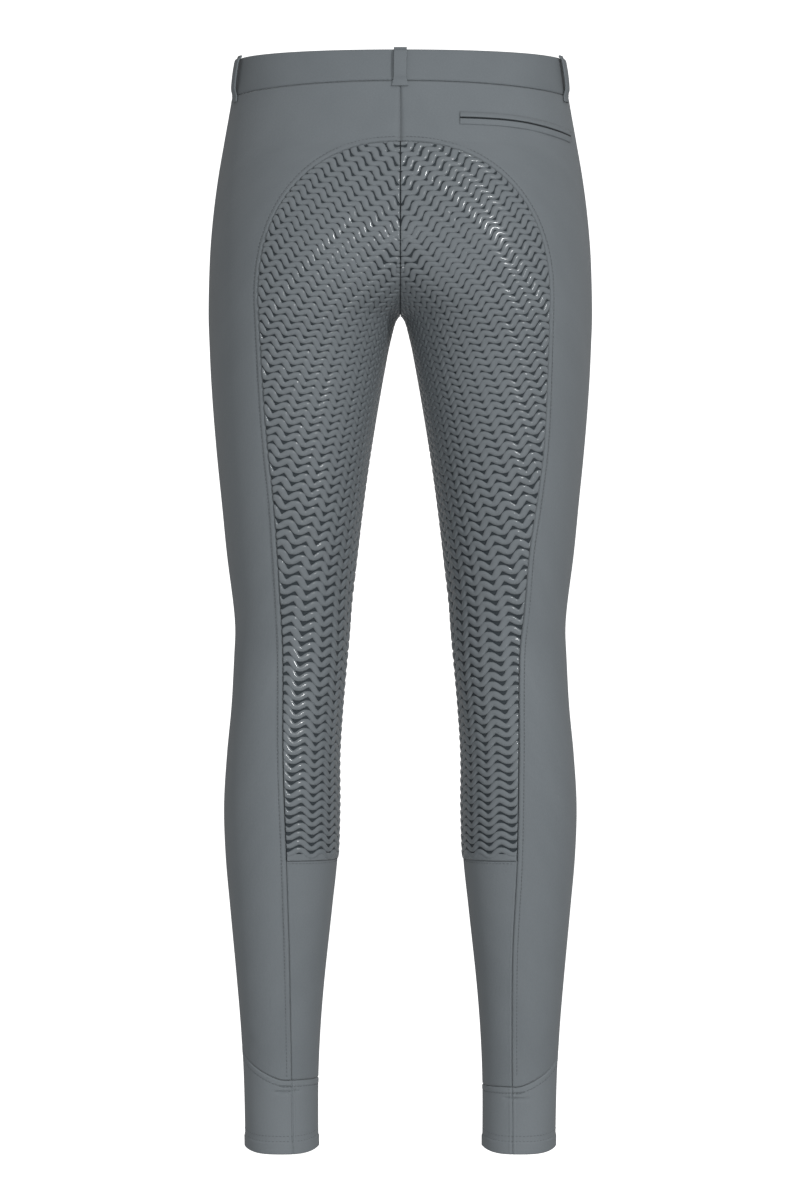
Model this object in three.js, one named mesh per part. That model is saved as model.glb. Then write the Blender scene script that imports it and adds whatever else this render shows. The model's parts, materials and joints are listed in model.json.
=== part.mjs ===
// Riding breeches with a full grip seat, kept in their worn, hollow form.
// Millimetres, +Z up. The wearer's back faces -Y and the wearer's right is +X.
// The origin is the middle of the waist opening, level with the waistband's top edge.
import * as THREE from "three";

// Cloth and seams
const CLOTH = 1.6; // stretch cloth of the panels
const BAND_CLOTH = 2.4; // waistband, folded double
const CUFF_CLOTH = 1.4; // elastic ankle cuff
const HEM_EXTRA = 0.7; // turned hem at the cuff's lower edge
const SEAM_GAP = 0.3; // two pieces at a seam
const LAID_ON = 0.35; // a strip above the cloth that it is sewn to

// Heights, measured down from the waist
const HEM = -957;
const CROTCH = -223;
const SPLIT_START = -150; // the two halves begin to part towards the crotch
const SPLIT_POWER = 1.7;
const BACK_BREADTH = 300; // how flat the seat runs to the middle seam above that
const CROTCH_ARCH = 5.5; // half the width of the rounded gap under the crotch
const CROTCH_ROUND = 4; // how fast that gap opens
const BAND_BACK = 27; // waistband height at the centre back
const BAND_SIDE = 33; // and at the sides and front

// Grip seat: an arch over the seat, then down the inside of each leg
const ARCH_TOP = -81;
const ARCH_FOOT = -216;
const ARCH_POWER = 2.25;
const GRIP_END = -700;

// Raised grip waves: each is a rib with a ridge between two hollows, and runs down towards the
// middle plane. The real pitch, with fewer and straighter turns than the printed waves have.
const WAVE_RISE = 1.2;
const WAVE_FADE = 1.4; // how soon they flatten out under the crotch, where the cloth faces down
const WAVE_SWING = 2.1;
const WAVE_TURNS = 12;
const WAVE_MARGIN = 3.5;
const WAVE_COLUMNS = ["height", "pitch", "slope"];
const WAVES = [
  [-92, 8.6, 0.55],
  [-175, 8.2, 0.45],
  [-260, 7.8, 0.33],
  [-400, 8.8, 0.28],
  [-520, 9.2, 0.17],
  [-600, 8.6, 0.08],
  [-694, 7.4, 0],
];

// The front of a leg is one long piece of cloth. It is cut here, so that each length bends one way
const FRONT_CUTS = [-240, -658];

// Ankle cuff: level inside, rising to a point on the outer side
const CUFF_TOP = -892;
const CUFF_POINT = 36;
const CUFF_POINT_ANGLE = THREE.MathUtils.degToRad(18);
const CUFF_POINT_SPREAD = THREE.MathUtils.degToRad(113);
const CUFF_POINT_POWER = 1.3;
const HEM_HEIGHT = 14;

// One row for each cross-section of the worn form, from the waist down: its height, the outer and
// the inner edge of a leg and its line of greatest depth from the middle plane, the depth of the
// side seam, the depths of back and front, and its roundness (2 is an ellipse, more is squarer).
const SECTION_COLUMNS = ["height", "outer", "inner", "ridge", "side", "back", "front", "power"];
const SECTIONS = [
  [0, 143.4, 0, 0, 0, -100, 100, 2.15],
  [-35, 148.3, 0, 0, 0, -106, 103, 2.15],
  [-70, 154.4, 0, 6, -1, -116, 105, 2.15],
  [-105, 160.3, 0, 22, -2, -126, 106, 2.15],
  [-140, 164.6, 0, 42, -4, -132, 105, 2.2],
  [-175, 167.2, 0, 60, -6, -134, 102, 2.2],
  [-223, 168.2, 0, 80, -8, -128, 96, 2.2],
  [-258, 167.2, 6.8, 88, -8, -118, 91, 2.2],
  [-302, 164.6, 14.7, 92, -8, -109, 86, 2.2],
  [-346, 161, 21.8, 94, -7, -101, 81, 2.2],
  [-390, 156.6, 27.9, 95, -6, -92, 76, 2.15],
  [-434, 152.2, 33.2, 95.5, -6, -82, 69, 2.1],
  [-478, 146.5, 38.1, 95, -7, -72, 60, 2.1],
  [-500, 144.8, 39.8, 95, -9, -69, 55, 2.1],
  [-522, 145.6, 41.6, 96, -11, -69, 50, 2.1],
  [-566, 147.8, 45.5, 99.5, -16, -75, 43, 2.1],
  [-610, 151.8, 48.2, 102.5, -20, -81, 38, 2.1],
  [-654, 154.2, 48.2, 104, -22, -82, 34, 2.1],
  [-698, 152.8, 49.7, 104, -21, -78, 31, 2.1],
  [-742, 149, 54.3, 104.5, -19, -71, 29, 2.1],
  [-808, 143, 61.4, 105, -16, -60, 27, 2.1],
  [-852, 139.5, 64.9, 105, -13, -53, 25, 2.05],
  [-896, 137.3, 66.7, 105, -11, -48, 24, 2.05],
  [-957, 136, 66.7, 104, -10, -47, 25, 2.05],
];

// Where the seam between the outer panel and the inner one runs down the back of each leg:
// its height, and its distance from the middle plane on the left and on the right leg.
const SEAM_COLUMNS = ["height", "left", "right"];
const BACK_SEAM = [
  [-216, 122, 128.5],
  [-302, 117.5, 126],
  [-346, 114, 123.5],
  [-390, 109.5, 118],
  [-434, 106.5, 111.5],
  [-478, 104, 108],
  [-522, 102, 103.5],
  [-610, 101.5, 102.5],
  [-700, 98.5, 101],
  [-790, 96, 97],
  [-957, 93.5, 97.5],
];

const CLOTH_LOOK = { color: 0x6f7477, roughness: 0.85, metalness: 0 };
const GRIP_LOOK = { color: 0x6b7174, roughness: 0.4, metalness: 0 };
const BAND_LOOK = { color: 0x6c7174, roughness: 0.85, metalness: 0 };
const CUFF_LOOK = { color: 0x73787b, roughness: 0.75, metalness: 0 };
const BUTTON_LOOK = { color: 0x3c4043, roughness: 0.35, metalness: 0 };

const BACK = -1;
const FRONT = 1;

// A column of a table at any height: a cubic through its rows, level with its neighbours' slope.
function columnAt(table, column, height) {
  const last = table.length - 1;
  const clamped = Math.min(Math.max(height, table[last][0]), table[0][0]);
  let row = 0;
  while (row < last - 1 && clamped < table[row + 1][0]) row += 1;
  const slope = (index) => {
    const low = Math.max(index - 1, 0);
    const high = Math.min(index + 1, last);
    return (table[high][column] - table[low][column]) / (table[high][0] - table[low][0]);
  };
  const span = table[row + 1][0] - table[row][0];
  const t = (clamped - table[row][0]) / span;
  const start = table[row][column] * (1 + 2 * t) * (1 - t) ** 2;
  const end = table[row + 1][column] * t * t * (3 - 2 * t);
  const bend = slope(row) * t * (1 - t) ** 2 - slope(row + 1) * t * t * (1 - t);
  return start + end + bend * span;
}

function signedPower(value, power) {
  return Math.sign(value) * Math.abs(value) ** power;
}

// The cross-section of the right half at a height. Its outer and its inner part have half-widths of
// their own. Above the crotch the inner part reaches past the middle plane, which cuts it off, and
// it draws in until it only touches that plane at the crotch.
function sectionAt(height) {
  const row = {};
  SECTION_COLUMNS.forEach((name, column) => {
    row[name] = columnAt(SECTIONS, column, height);
  });
  if (height >= CROTCH) {
    const parted = Math.max(0, (SPLIT_START - height) / (SPLIT_START - CROTCH)) ** SPLIT_POWER;
    const share = parted + ((1 - parted) * row.ridge) / BACK_BREADTH;
    row.reachIn = row.ridge > 0 ? row.ridge / share : BACK_BREADTH;
  } else {
    row.reachIn = row.ridge - row.inner - CROTCH_ARCH * (1 - Math.exp((height - CROTCH) / CROTCH_ROUND));
  }
  row.reachOut = row.outer - row.ridge;
  return row;
}

// A point of the cloth's outer side. Angle 0 is the side seam, a quarter turn back is -90 degrees
// and a quarter turn forward is +90 degrees, and a half turn either way is the inside of the leg.
function bodyPoint(height, angle) {
  const section = sectionAt(height);
  const across = signedPower(Math.cos(angle), 2 / section.power);
  const along = signedPower(Math.sin(angle), 2 / section.power);
  const depth = along < 0 ? section.side - section.back : section.front - section.side;
  const width = across < 0 ? section.reachIn : section.reachOut;
  return new THREE.Vector3(section.ridge + width * across, section.side + depth * along, height);
}

function bodyNormal(height, angle) {
  const turn = 0.02;
  const rise = 1.5;
  const round = bodyPoint(height, angle + turn).sub(bodyPoint(height, angle - turn));
  const up = bodyPoint(height + rise, angle).sub(bodyPoint(height - rise, angle));
  return round.cross(up).normalize();
}

// A point moved out of the cloth's outer side, or into the wall where the lift is negative.
// It stays on its own side of the middle plane.
function liftedPoint(height, angle, lift, edge = SEAM_GAP / 2) {
  const point = bodyPoint(height, angle).addScaledVector(bodyNormal(height, angle), lift);
  point.x = Math.max(point.x, edge);
  return point;
}

// The angle at which a height's section is a given distance from the middle plane.
function angleAt(height, distance, face) {
  const section = sectionAt(height);
  const width = distance < section.ridge ? section.reachIn : section.reachOut;
  const share = THREE.MathUtils.clamp((distance - section.ridge) / width, -1, 1);
  return face * Math.acos(signedPower(share, section.power / 2));
}

// The turn that moves a point of the section by a length of cloth.
function turnFor(height, angle, length) {
  const step = 0.05;
  const run = bodyPoint(height, angle + step).distanceTo(bodyPoint(height, angle - step));
  return (length * 2 * step) / run;
}

// The inner edge of a panel: the middle plane above the crotch and the inseam below it.
function innerAngle(height, face) {
  const limit = Math.PI - turnFor(height, face * Math.PI, SEAM_GAP / 2);
  return face * Math.min(Math.abs(angleAt(height, SEAM_GAP / 2, face)), limit);
}

// The seam between outer and inner panels on the back: the arch, then the seam table.
function seamDistance(height, side) {
  const foot = BACK_SEAM[0][SEAM_COLUMNS.indexOf(side)];
  if (height >= ARCH_TOP) return 0;
  if (height > ARCH_FOOT) {
    const rise = (height - ARCH_FOOT) / (ARCH_TOP - ARCH_FOOT);
    return foot * (1 - rise ** ARCH_POWER) ** (1 / ARCH_POWER);
  }
  return columnAt(BACK_SEAM, SEAM_COLUMNS.indexOf(side), height);
}

function seamAngle(height, side, shift) {
  const angle = angleAt(height, seamDistance(height, side), BACK);
  return angle + turnFor(height, angle, shift);
}

function bandFoot(angle) {
  const back = Math.max(0, -Math.sin(angle)) ** 2;
  return -(BAND_SIDE - (BAND_SIDE - BAND_BACK) * back);
}

function cuffTop(angle) {
  const away = Math.abs(angle - CUFF_POINT_ANGLE);
  const round = Math.min(away, 2 * Math.PI - away);
  return CUFF_TOP + CUFF_POINT * Math.max(0, 1 - round / CUFF_POINT_SPREAD) ** CUFF_POINT_POWER;
}

// Rows of heights that neighbouring panels share, so that their seams follow the same points.
function archHeights(count) {
  const heights = [];
  for (let step = 1; step <= count; step += 1) {
    const angle = ((step / count) * Math.PI) / 2;
    heights.push(ARCH_FOOT + (ARCH_TOP - ARCH_FOOT) * Math.cos(angle) ** (2 / ARCH_POWER));
  }
  return heights;
}

const UPPER_ROWS = [-46, -60, -72, ARCH_TOP];
const ARCH_ROWS = archHeights(9);
const CROTCH_ROWS = [-220.5, CROTCH, -225.5, -230, -240, -258];
const LEG_STEP = 40;
const LEG_END = -800;

function legRows() {
  const rows = [];
  for (let height = CROTCH_ROWS.at(-1) - LEG_STEP; height > GRIP_END + 10; height -= LEG_STEP) rows.push(height);
  rows.push(GRIP_END, GRIP_END - 50, LEG_END);
  return rows;
}

const PANEL_ROWS = [...UPPER_ROWS, ...ARCH_ROWS, ...CROTCH_ROWS, ...legRows()];
const ANKLE_STEPS = 3;

// The columns that every panel shares, as angles all round a leg. A panel takes those between its
// two edges, and the ones past an edge lie on it.
const COLUMN_STEP = Math.PI / 12;
const BACK_COLUMNS = between(-Math.PI, 0, Math.round(Math.PI / COLUMN_STEP));
const FRONT_COLUMNS = between(0, Math.PI, Math.round(Math.PI / COLUMN_STEP));

// A closed mesh from triangles over shared points. Points that coincide become one, and triangles
// that shrink to a line are left out. The faces point outwards.
class SolidBuilder {
  constructor() {
    this.points = [];
    this.lookup = new Map();
    this.faces = [];
  }

  vertex(point) {
    const key = `${point.x.toFixed(3)} ${point.y.toFixed(3)} ${point.z.toFixed(3)}`;
    if (!this.lookup.has(key)) {
      this.lookup.set(key, this.points.length);
      this.points.push(point.clone());
    }
    return this.lookup.get(key);
  }

  triangle(a, b, c) {
    if (a !== b && b !== c && c !== a) this.faces.push([a, b, c]);
  }

  quad(a, b, c, d) {
    this.triangle(a, b, c);
    this.triangle(a, c, d);
  }

  geometry(mirrored) {
    const positions = new Float32Array(this.points.length * 3);
    this.points.forEach((point, index) => {
      positions.set([mirrored ? -point.x : point.x, point.y, point.z], index * 3);
    });
    let volume = 0;
    const at = (index) => new THREE.Vector3().fromArray(positions, index * 3);
    this.faces.forEach(([a, b, c]) => {
      volume += at(a).dot(at(b).cross(at(c)));
    });
    const order = volume > 0 ? [0, 1, 2] : [0, 2, 1];
    const geometry = new THREE.BufferGeometry();
    geometry.setAttribute("position", new THREE.BufferAttribute(positions, 3));
    geometry.setIndex(this.faces.flatMap((face) => order.map((corner) => face[corner])));
    geometry.computeVertexNormals();
    return geometry;
  }
}

// A wall between two grids of the same rows and columns, closed along its edges. A ring has no
// edge where its last column meets its first.
function wallBetween(outer, inner, ring = false) {
  const solid = new SolidBuilder();
  const near = outer.map((row) => row.map((point) => solid.vertex(point)));
  const far = inner.map((row) => row.map((point) => solid.vertex(point)));
  const rows = near.length - 1;
  const columns = near[0].length - (ring ? 0 : 1);
  const next = (column) => (ring ? (column + 1) % columns : column + 1);
  for (let row = 0; row < rows; row += 1) {
    for (let column = 0; column < columns; column += 1) {
      const right = next(column);
      solid.quad(near[row][column], near[row + 1][column], near[row + 1][right], near[row][right]);
      solid.quad(far[row][column], far[row][right], far[row + 1][right], far[row + 1][column]);
    }
    if (!ring) {
      solid.quad(near[row][0], far[row][0], far[row + 1][0], near[row + 1][0]);
      solid.quad(near[row][columns], near[row + 1][columns], far[row + 1][columns], far[row][columns]);
    }
  }
  for (let column = 0; column < columns; column += 1) {
    const right = next(column);
    solid.quad(near[0][column], near[0][right], far[0][right], far[0][column]);
    solid.quad(near[rows][column], far[rows][column], far[rows][right], near[rows][right]);
  }
  return solid;
}

// The strip between two closed lines of points that run the same way round, one inside the other.
function joinLoops(solid, outer, inner) {
  let [a, b] = [0, 0];
  const around = (loop, index) => loop[index % loop.length];
  const length = (from, to) => solid.points[from].distanceTo(solid.points[to]);
  while (a < outer.length || b < inner.length) {
    const ahead = length(around(outer, a + 1), around(inner, b));
    const across = length(around(outer, a), around(inner, b + 1));
    if (b === inner.length || (a < outer.length && ahead <= across)) {
      solid.triangle(around(outer, a), around(outer, a + 1), around(inner, b));
      a += 1;
    } else {
      solid.triangle(around(outer, a), around(inner, b + 1), around(inner, b));
      b += 1;
    }
  }
}

// The points along a grid's edge, from its first corner, along its first row and back up.
function gridEdge(grid) {
  const columns = grid[0].length - 1;
  const down = grid.slice(1, -1).map((row) => row[columns]);
  const up = grid.slice(1, -1).map((row) => row[0]).reverse();
  const loop = [...grid[0], ...down, ...[...grid.at(-1)].reverse(), ...up];
  return loop.filter((vertex, index) => vertex !== loop[(index + 1) % loop.length]);
}

// A wall whose inner side is plain and whose outer side carries a raised field inside its margin.
function raisedWall(outer, inner, field) {
  const solid = new SolidBuilder();
  const share = (grid) => grid.map((row) => row.map((point) => solid.vertex(point)));
  const [edge, plain, raised] = [share(outer), share(inner), share(field)];
  const eachCell = (grid, place) => {
    for (let row = 0; row < grid.length - 1; row += 1) {
      for (let column = 0; column < grid[0].length - 1; column += 1) place(row, column);
    }
  };
  eachCell(plain, (row, column) => {
    solid.quad(plain[row][column], plain[row][column + 1], plain[row + 1][column + 1], plain[row + 1][column]);
  });
  eachCell(raised, (row, column) => {
    solid.quad(raised[row][column], raised[row + 1][column], raised[row + 1][column + 1], raised[row][column + 1]);
  });
  joinLoops(solid, gridEdge(raised), gridEdge(edge));
  joinLoops(solid, gridEdge(edge), gridEdge(plain));
  return solid;
}

// A panel from rows of places, each a height and an angle, as a wall of a given thickness.
function panelWall(places, thickness, lift = 0, ring = false) {
  const outer = places.map((row) => row.map(({ height, angle }) => liftedPoint(height, angle, lift)));
  const inner = places.map((row) => row.map(({ height, angle }) => liftedPoint(height, angle, lift - thickness)));
  return wallBetween(outer, inner, ring);
}

function between(from, to, count) {
  return Array.from({ length: count + 1 }, (_, index) => from + ((to - from) * index) / count);
}

// The places of a panel between two edges, from an upper edge to a lower one. The heights in
// between are rows that it shares with its neighbours.
function panelPlaces({ heights, columns, from, to, top, reachesCuff }) {
  const place = (height, column) => ({
    height,
    angle: THREE.MathUtils.clamp(column, from(height), to(height)),
  });
  const rows = heights.map((height) => columns.map((column) => place(height, column)));
  if (top) rows.unshift(columns.map((column) => place(top(column), column)));
  if (reachesCuff) {
    between(0, 1, ANKLE_STEPS).slice(1).forEach((share) => {
      rows.push(columns.map((column) => {
        const angle = THREE.MathUtils.clamp(column, from(CUFF_TOP), to(CUFF_TOP));
        return place(LEG_END + (cuffTop(angle) + SEAM_GAP - LEG_END) * share, column);
      }));
    });
  }
  return rows;
}

const underBand = (column) => bandFoot(Math.max(column, -Math.PI / 2)) - SEAM_GAP;
const sideEdge = (face) => (height) => face * turnFor(height, 0, SEAM_GAP / 2);

function backPanel(side) {
  const from = (height) => {
    const middle = innerAngle(height, BACK);
    return height >= ARCH_TOP ? middle : Math.max(seamAngle(height, side, SEAM_GAP / 2), middle);
  };
  const edges = { columns: BACK_COLUMNS, from, to: sideEdge(BACK) };
  return panelWall(panelPlaces({ ...edges, heights: PANEL_ROWS, top: underBand, reachesCuff: true }), CLOTH);
}

// One length of the front of a leg, from the waistband or a cut down to a cut or the cuff.
function frontPanel(high, low) {
  const edges = { columns: FRONT_COLUMNS, from: sideEdge(FRONT), to: (height) => innerAngle(height, FRONT) };
  const rows = PANEL_ROWS.filter((height) => height < high && height > low);
  const heights = [
    ...(high < 0 ? [high - SEAM_GAP / 2] : []),
    ...rows,
    ...(low > HEM ? [low + SEAM_GAP / 2] : []),
  ];
  const ends = { top: high < 0 ? null : underBand, reachesCuff: low <= HEM };
  return panelWall(panelPlaces({ ...edges, ...ends, heights }), CLOTH);
}

// The height at which a rib that starts at the inner edge meets the outer edge of the grip.
function ribEnd(start, slope, side) {
  let [low, high] = [start, ARCH_TOP];
  for (let step = 0; step < 30; step += 1) {
    const middle = (low + high) / 2;
    const width = seamDistance(middle, side) - WAVE_MARGIN - Math.max(0, sectionAt(start).inner);
    if (start + slope * width > middle) low = middle;
    else high = middle;
  }
  return low;
}

// Rows of points along hollow, ridge, hollow and so on, from the arch down to the calf.
function gripWaves(side) {
  const rows = [];
  let [start, ridge] = [WAVES[0][0], false];
  while (start > WAVES.at(-1)[0]) {
    const [pitch, slope] = ["pitch", "slope"].map((name) => columnAt(WAVES, WAVE_COLUMNS.indexOf(name), start));
    const finish = ribEnd(start, slope, side);
    const [from, to] = [innerAngle(start, BACK), seamAngle(finish, side, 0)];
    rows.push(between(0, 1, WAVE_TURNS).map((share, turn) => {
      const swing = turn % 2 ? WAVE_SWING : -WAVE_SWING;
      const height = start + (finish - start) * share + swing / 2;
      const low = innerAngle(height, BACK) + turnFor(height, from, WAVE_MARGIN);
      const high = seamAngle(height, side, -WAVE_MARGIN);
      const angle = THREE.MathUtils.clamp(from + (to - from) * share, low, high);
      const facing = Math.max(0, 1 - WAVE_FADE * Math.abs(bodyNormal(height, angle).z));
      return liftedPoint(height, angle, ridge ? WAVE_RISE * facing : 0);
    }));
    start -= pitch / 2;
    ridge = !ridge;
  }
  return rows;
}

function gripPanel(side) {
  const from = (height) => innerAngle(height, BACK);
  const to = (height) => Math.max(seamAngle(height, side, -SEAM_GAP / 2), from(height));
  const heights = PANEL_ROWS.filter((height) => height < ARCH_TOP && height > GRIP_END - 1);
  const top = () => ARCH_TOP - 2 * SEAM_GAP;
  const places = panelPlaces({ heights, columns: BACK_COLUMNS, from, to, top });
  places[0] = places[0].map(({ height }) => ({ height, angle: from(height) }));
  const grid = (lift) => places.map((row) => row.map(({ height, angle }) => liftedPoint(height, angle, lift)));
  return raisedWall(grid(0), grid(-CLOTH), gripWaves(side));
}

function calfPanel(side) {
  const from = (height) => innerAngle(height, BACK);
  const to = (height) => seamAngle(height, side, -SEAM_GAP / 2);
  const heights = PANEL_ROWS.filter((height) => height < GRIP_END - 1);
  const top = () => GRIP_END - SEAM_GAP;
  return panelWall(panelPlaces({ heights, columns: BACK_COLUMNS, from, to, top, reachesCuff: true }), CLOTH);
}

// The cuff goes round the ankle through the same columns as the panels above it.
function cuff(side) {
  const seam = seamAngle(CUFF_TOP, side, 0);
  const columns = [...BACK_COLUMNS.slice(0, -1), ...FRONT_COLUMNS.slice(0, -1), seam].sort((a, b) => a - b);
  const hemTop = HEM + HEM_HEIGHT;
  const rows = [0, 0.3, 0.65, 1].map((share) => columns.map((angle) => {
    const start = cuffTop(angle) - SEAM_GAP;
    return { height: start + (hemTop - start) * share, angle, extra: 0 };
  }));
  [hemTop - 1, HEM].forEach((height) => {
    rows.push(columns.map((angle) => ({ height, angle, extra: HEM_EXTRA })));
  });
  const outside = ({ height, angle, extra }) => liftedPoint(height, angle, extra);
  const inside = ({ height, angle }) => liftedPoint(height, angle, -CUFF_CLOTH);
  return wallBetween(rows.map((row) => row.map(outside)), rows.map((row) => row.map(inside)), true);
}

const BAND_LIFT = 0.4;

function waistband() {
  const quarter = Math.PI / 2 + COLUMN_STEP / 2;
  const columns = [...BACK_COLUMNS, ...FRONT_COLUMNS.slice(1)].filter((column) => Math.abs(column) < quarter);
  const places = [0, 0.5, 1].map((share) => columns.map((column) => {
    const height = bandFoot(column) * share;
    return { height, angle: THREE.MathUtils.clamp(column, innerAngle(height, BACK), innerAngle(height, FRONT)) };
  }));
  return panelWall(places, BAND_CLOTH, BAND_LIFT);
}

// A strip of cloth that follows the band or a panel. Each station is a height, a lift of its
// underside and a share of its width.
function strip(stations, angle, width, thickness) {
  const corner = (station, edge, lift) => {
    const turn = turnFor(station.height, angle, (edge * width * station.width) / 2);
    return trimPoint(station.height, angle + turn, lift);
  };
  const edges = [-1, 0, 1];
  const outer = stations.map((station) => edges.map((edge) => corner(station, edge, station.lift + thickness)));
  const inner = stations.map((station) => edges.map((edge) => corner(station, edge, station.lift)));
  return wallBetween(outer, inner);
}

// A point of a strip that may cross the middle plane, where the form is mirrored.
function trimPoint(height, angle, lift) {
  const level = Math.min(height, 0);
  const face = Math.sign(angle);
  const middle = Math.abs(angleAt(level, 0, face));
  const crosses = Math.abs(angle) > middle;
  const own = crosses ? face * (2 * middle - Math.abs(angle)) : angle;
  const point = bodyPoint(level, own).addScaledVector(bodyNormal(Math.min(level, -2), own), lift);
  if (crosses) point.x = -point.x;
  point.z += height - level;
  return point;
}

const LOOP_WIDTH = 10.5;
const LOOP_CLOTH = 1.4;
const LOOP_FEET = BAND_LIFT + LAID_ON;
const LOOP_STAND = 3.4;
const SIDE_LOOP_ANGLE = -COLUMN_STEP;
const FRONT_LOOP_ANGLE = 3 * COLUMN_STEP;

// One row for each bend of a belt loop: its height over the band's foot as a share of the band,
// the lift of its underside, and its width as a share of the loop's.
const LOOP_BENDS = [
  [1.05, LOOP_FEET, 1],
  [0.94, LOOP_FEET + 0.1, 1],
  [0.84, LOOP_STAND, 1],
  [0.5, LOOP_STAND + 0.5, 1],
  [0.14, LOOP_STAND, 1],
  [0.0, LOOP_FEET + 0.1, 1.1],
  [-0.2, LOOP_FEET, 1.35],
];

function beltLoop(angle) {
  const foot = -bandFoot(angle);
  const stations = LOOP_BENDS.map(([share, lift, width]) => ({ height: foot * (share - 1), lift, width }));
  return strip(stations, angle, LOOP_WIDTH, LOOP_CLOTH);
}

// The front closure: a tab across the middle, sewn to the right half and buttoned to the left.
const TAB_FROM = 10;
const TAB_TO = -40;
const TAB_HEIGHTS = [-3, -16, -30];

function frontPoint(height, distance, lift) {
  const angle = angleAt(height, Math.abs(distance), FRONT);
  const point = bodyPoint(height, angle).addScaledVector(bodyNormal(Math.min(height, -2), angle), lift);
  point.x = distance;
  return point;
}

function frontStrip(heights, edgesAt, lift, thickness) {
  const outer = heights.map((height) => edgesAt(height).map((x) => frontPoint(height, x, lift + thickness)));
  const inner = heights.map((height) => edgesAt(height).map((x) => frontPoint(height, x, lift)));
  return wallBetween(outer, inner);
}

function waistTab() {
  return frontStrip(TAB_HEIGHTS, () => between(TAB_FROM, TAB_TO, 5), BAND_LIFT + LAID_ON, BAND_CLOTH);
}

const PLACKET_WIDTH = 34;
const PLACKET_END = -160;
const PLACKET_ROUNDS_FROM = -120;
const PLACKET_FOOT = 0.28; // the share of its width left at the lower end

function flyPlacket() {
  const heights = between(-BAND_SIDE - 1.5, PLACKET_END, 8);
  const edgesAt = (height) => {
    const down = Math.max(0, (height - PLACKET_ROUNDS_FROM) / (PLACKET_END - PLACKET_ROUNDS_FROM));
    const width = PLACKET_WIDTH * Math.sqrt(1 - (1 - PLACKET_FOOT ** 2) * down * down);
    return between(-1, -width, 3);
  };
  return frontStrip(heights, edgesAt, LAID_ON, CLOTH);
}

const BUTTON_RADIUS = 8;
const BUTTON_THICK = 2.6;
const BUTTON_DISTANCE = -27;
const BUTTON_HEIGHT = -16;

function waistButton() {
  const rim = BUTTON_RADIUS;
  const profile = [
    [0, 0],
    [rim * 0.8, 0],
    [rim, BUTTON_THICK * 0.4],
    [rim, BUTTON_THICK * 0.8],
    [rim * 0.85, BUTTON_THICK],
    [rim * 0.6, BUTTON_THICK * 0.7],
    [0, BUTTON_THICK * 0.7],
  ].map(([radius, rise]) => new THREE.Vector2(radius, rise));
  const button = new THREE.Mesh(new THREE.LatheGeometry(profile, 20));
  const angle = angleAt(BUTTON_HEIGHT, -BUTTON_DISTANCE, FRONT);
  const normal = bodyNormal(BUTTON_HEIGHT, angle);
  normal.x = -normal.x;
  const seat = BAND_LIFT + LAID_ON + BAND_CLOTH + SEAM_GAP + 0.2;
  button.position.copy(frontPoint(BUTTON_HEIGHT, BUTTON_DISTANCE, 0)).addScaledVector(normal, seat);
  button.quaternion.setFromUnitVectors(new THREE.Vector3(0, 1, 0), normal);
  return button;
}

// The back pocket on the right: a slit that drops towards the side seam, between two welts.
// One row for each place along it: distance from the middle plane, and height of the slit.
const POCKET_SLIT = [
  [51, -60],
  [70, -60.2],
  [90, -60.8],
  [108, -62.3],
  [124, -64.8],
  [138, -67.6],
  [148, -70],
];
const WELT_WIDTH = 5;
const WELT_CLOTH = 1;
const WELT_PARTING = 0.5;
const WELT_LIFT = 0.75; // over the panel, whose flat faces stand a little proud here

function pocketWelt(direction) {
  const edges = [WELT_PARTING, WELT_PARTING + WELT_WIDTH / 2, WELT_PARTING + WELT_WIDTH];
  const grid = (lift) => edges.map((edge) => POCKET_SLIT.map(([distance, slit]) => {
    const height = slit + direction * edge;
    return liftedPoint(height, angleAt(height, distance, BACK), lift);
  }));
  return wallBetween(grid(WELT_LIFT + WELT_CLOTH), grid(WELT_LIFT));
}

function named(name, solid, look, mirrored) {
  const mesh = new THREE.Mesh(solid.geometry(mirrored), new THREE.MeshStandardMaterial(look));
  mesh.name = name;
  return mesh;
}

const breeches = new THREE.Group();

["left", "right"].forEach((side) => {
  const mirrored = side === "left";
  const add = (name, solid, look) => breeches.add(named(`${name}_${side}`, solid, look, mirrored));
  add("waistband", waistband(), BAND_LOOK);
  add("back_panel", backPanel(side), CLOTH_LOOK);
  add("grip_panel", gripPanel(side), GRIP_LOOK);
  add("calf_panel", calfPanel(side), CLOTH_LOOK);
  add("front_panel", frontPanel(0, FRONT_CUTS[0]), CLOTH_LOOK);
  add("front_thigh", frontPanel(FRONT_CUTS[0], FRONT_CUTS[1]), CLOTH_LOOK);
  add("front_shin", frontPanel(FRONT_CUTS[1], HEM), CLOTH_LOOK);
  add("cuff", cuff(side), CUFF_LOOK);
  add("belt_loop_side", beltLoop(SIDE_LOOP_ANGLE), BAND_LOOK);
  add("belt_loop_front", beltLoop(FRONT_LOOP_ANGLE), BAND_LOOK);
});

breeches.add(named("belt_loop_back", beltLoop(-Math.PI / 2), BAND_LOOK, false));
breeches.add(named("waist_tab", waistTab(), BAND_LOOK, false));
breeches.add(named("fly_placket", flyPlacket(), CLOTH_LOOK, false));
breeches.add(named("pocket_welt_upper", pocketWelt(1), CLOTH_LOOK, false));
breeches.add(named("pocket_welt_lower", pocketWelt(-1), CLOTH_LOOK, false));

const button = waistButton();
button.name = "waist_button";
button.material = new THREE.MeshStandardMaterial(BUTTON_LOOK);
breeches.add(button);

export default breeches;
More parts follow.
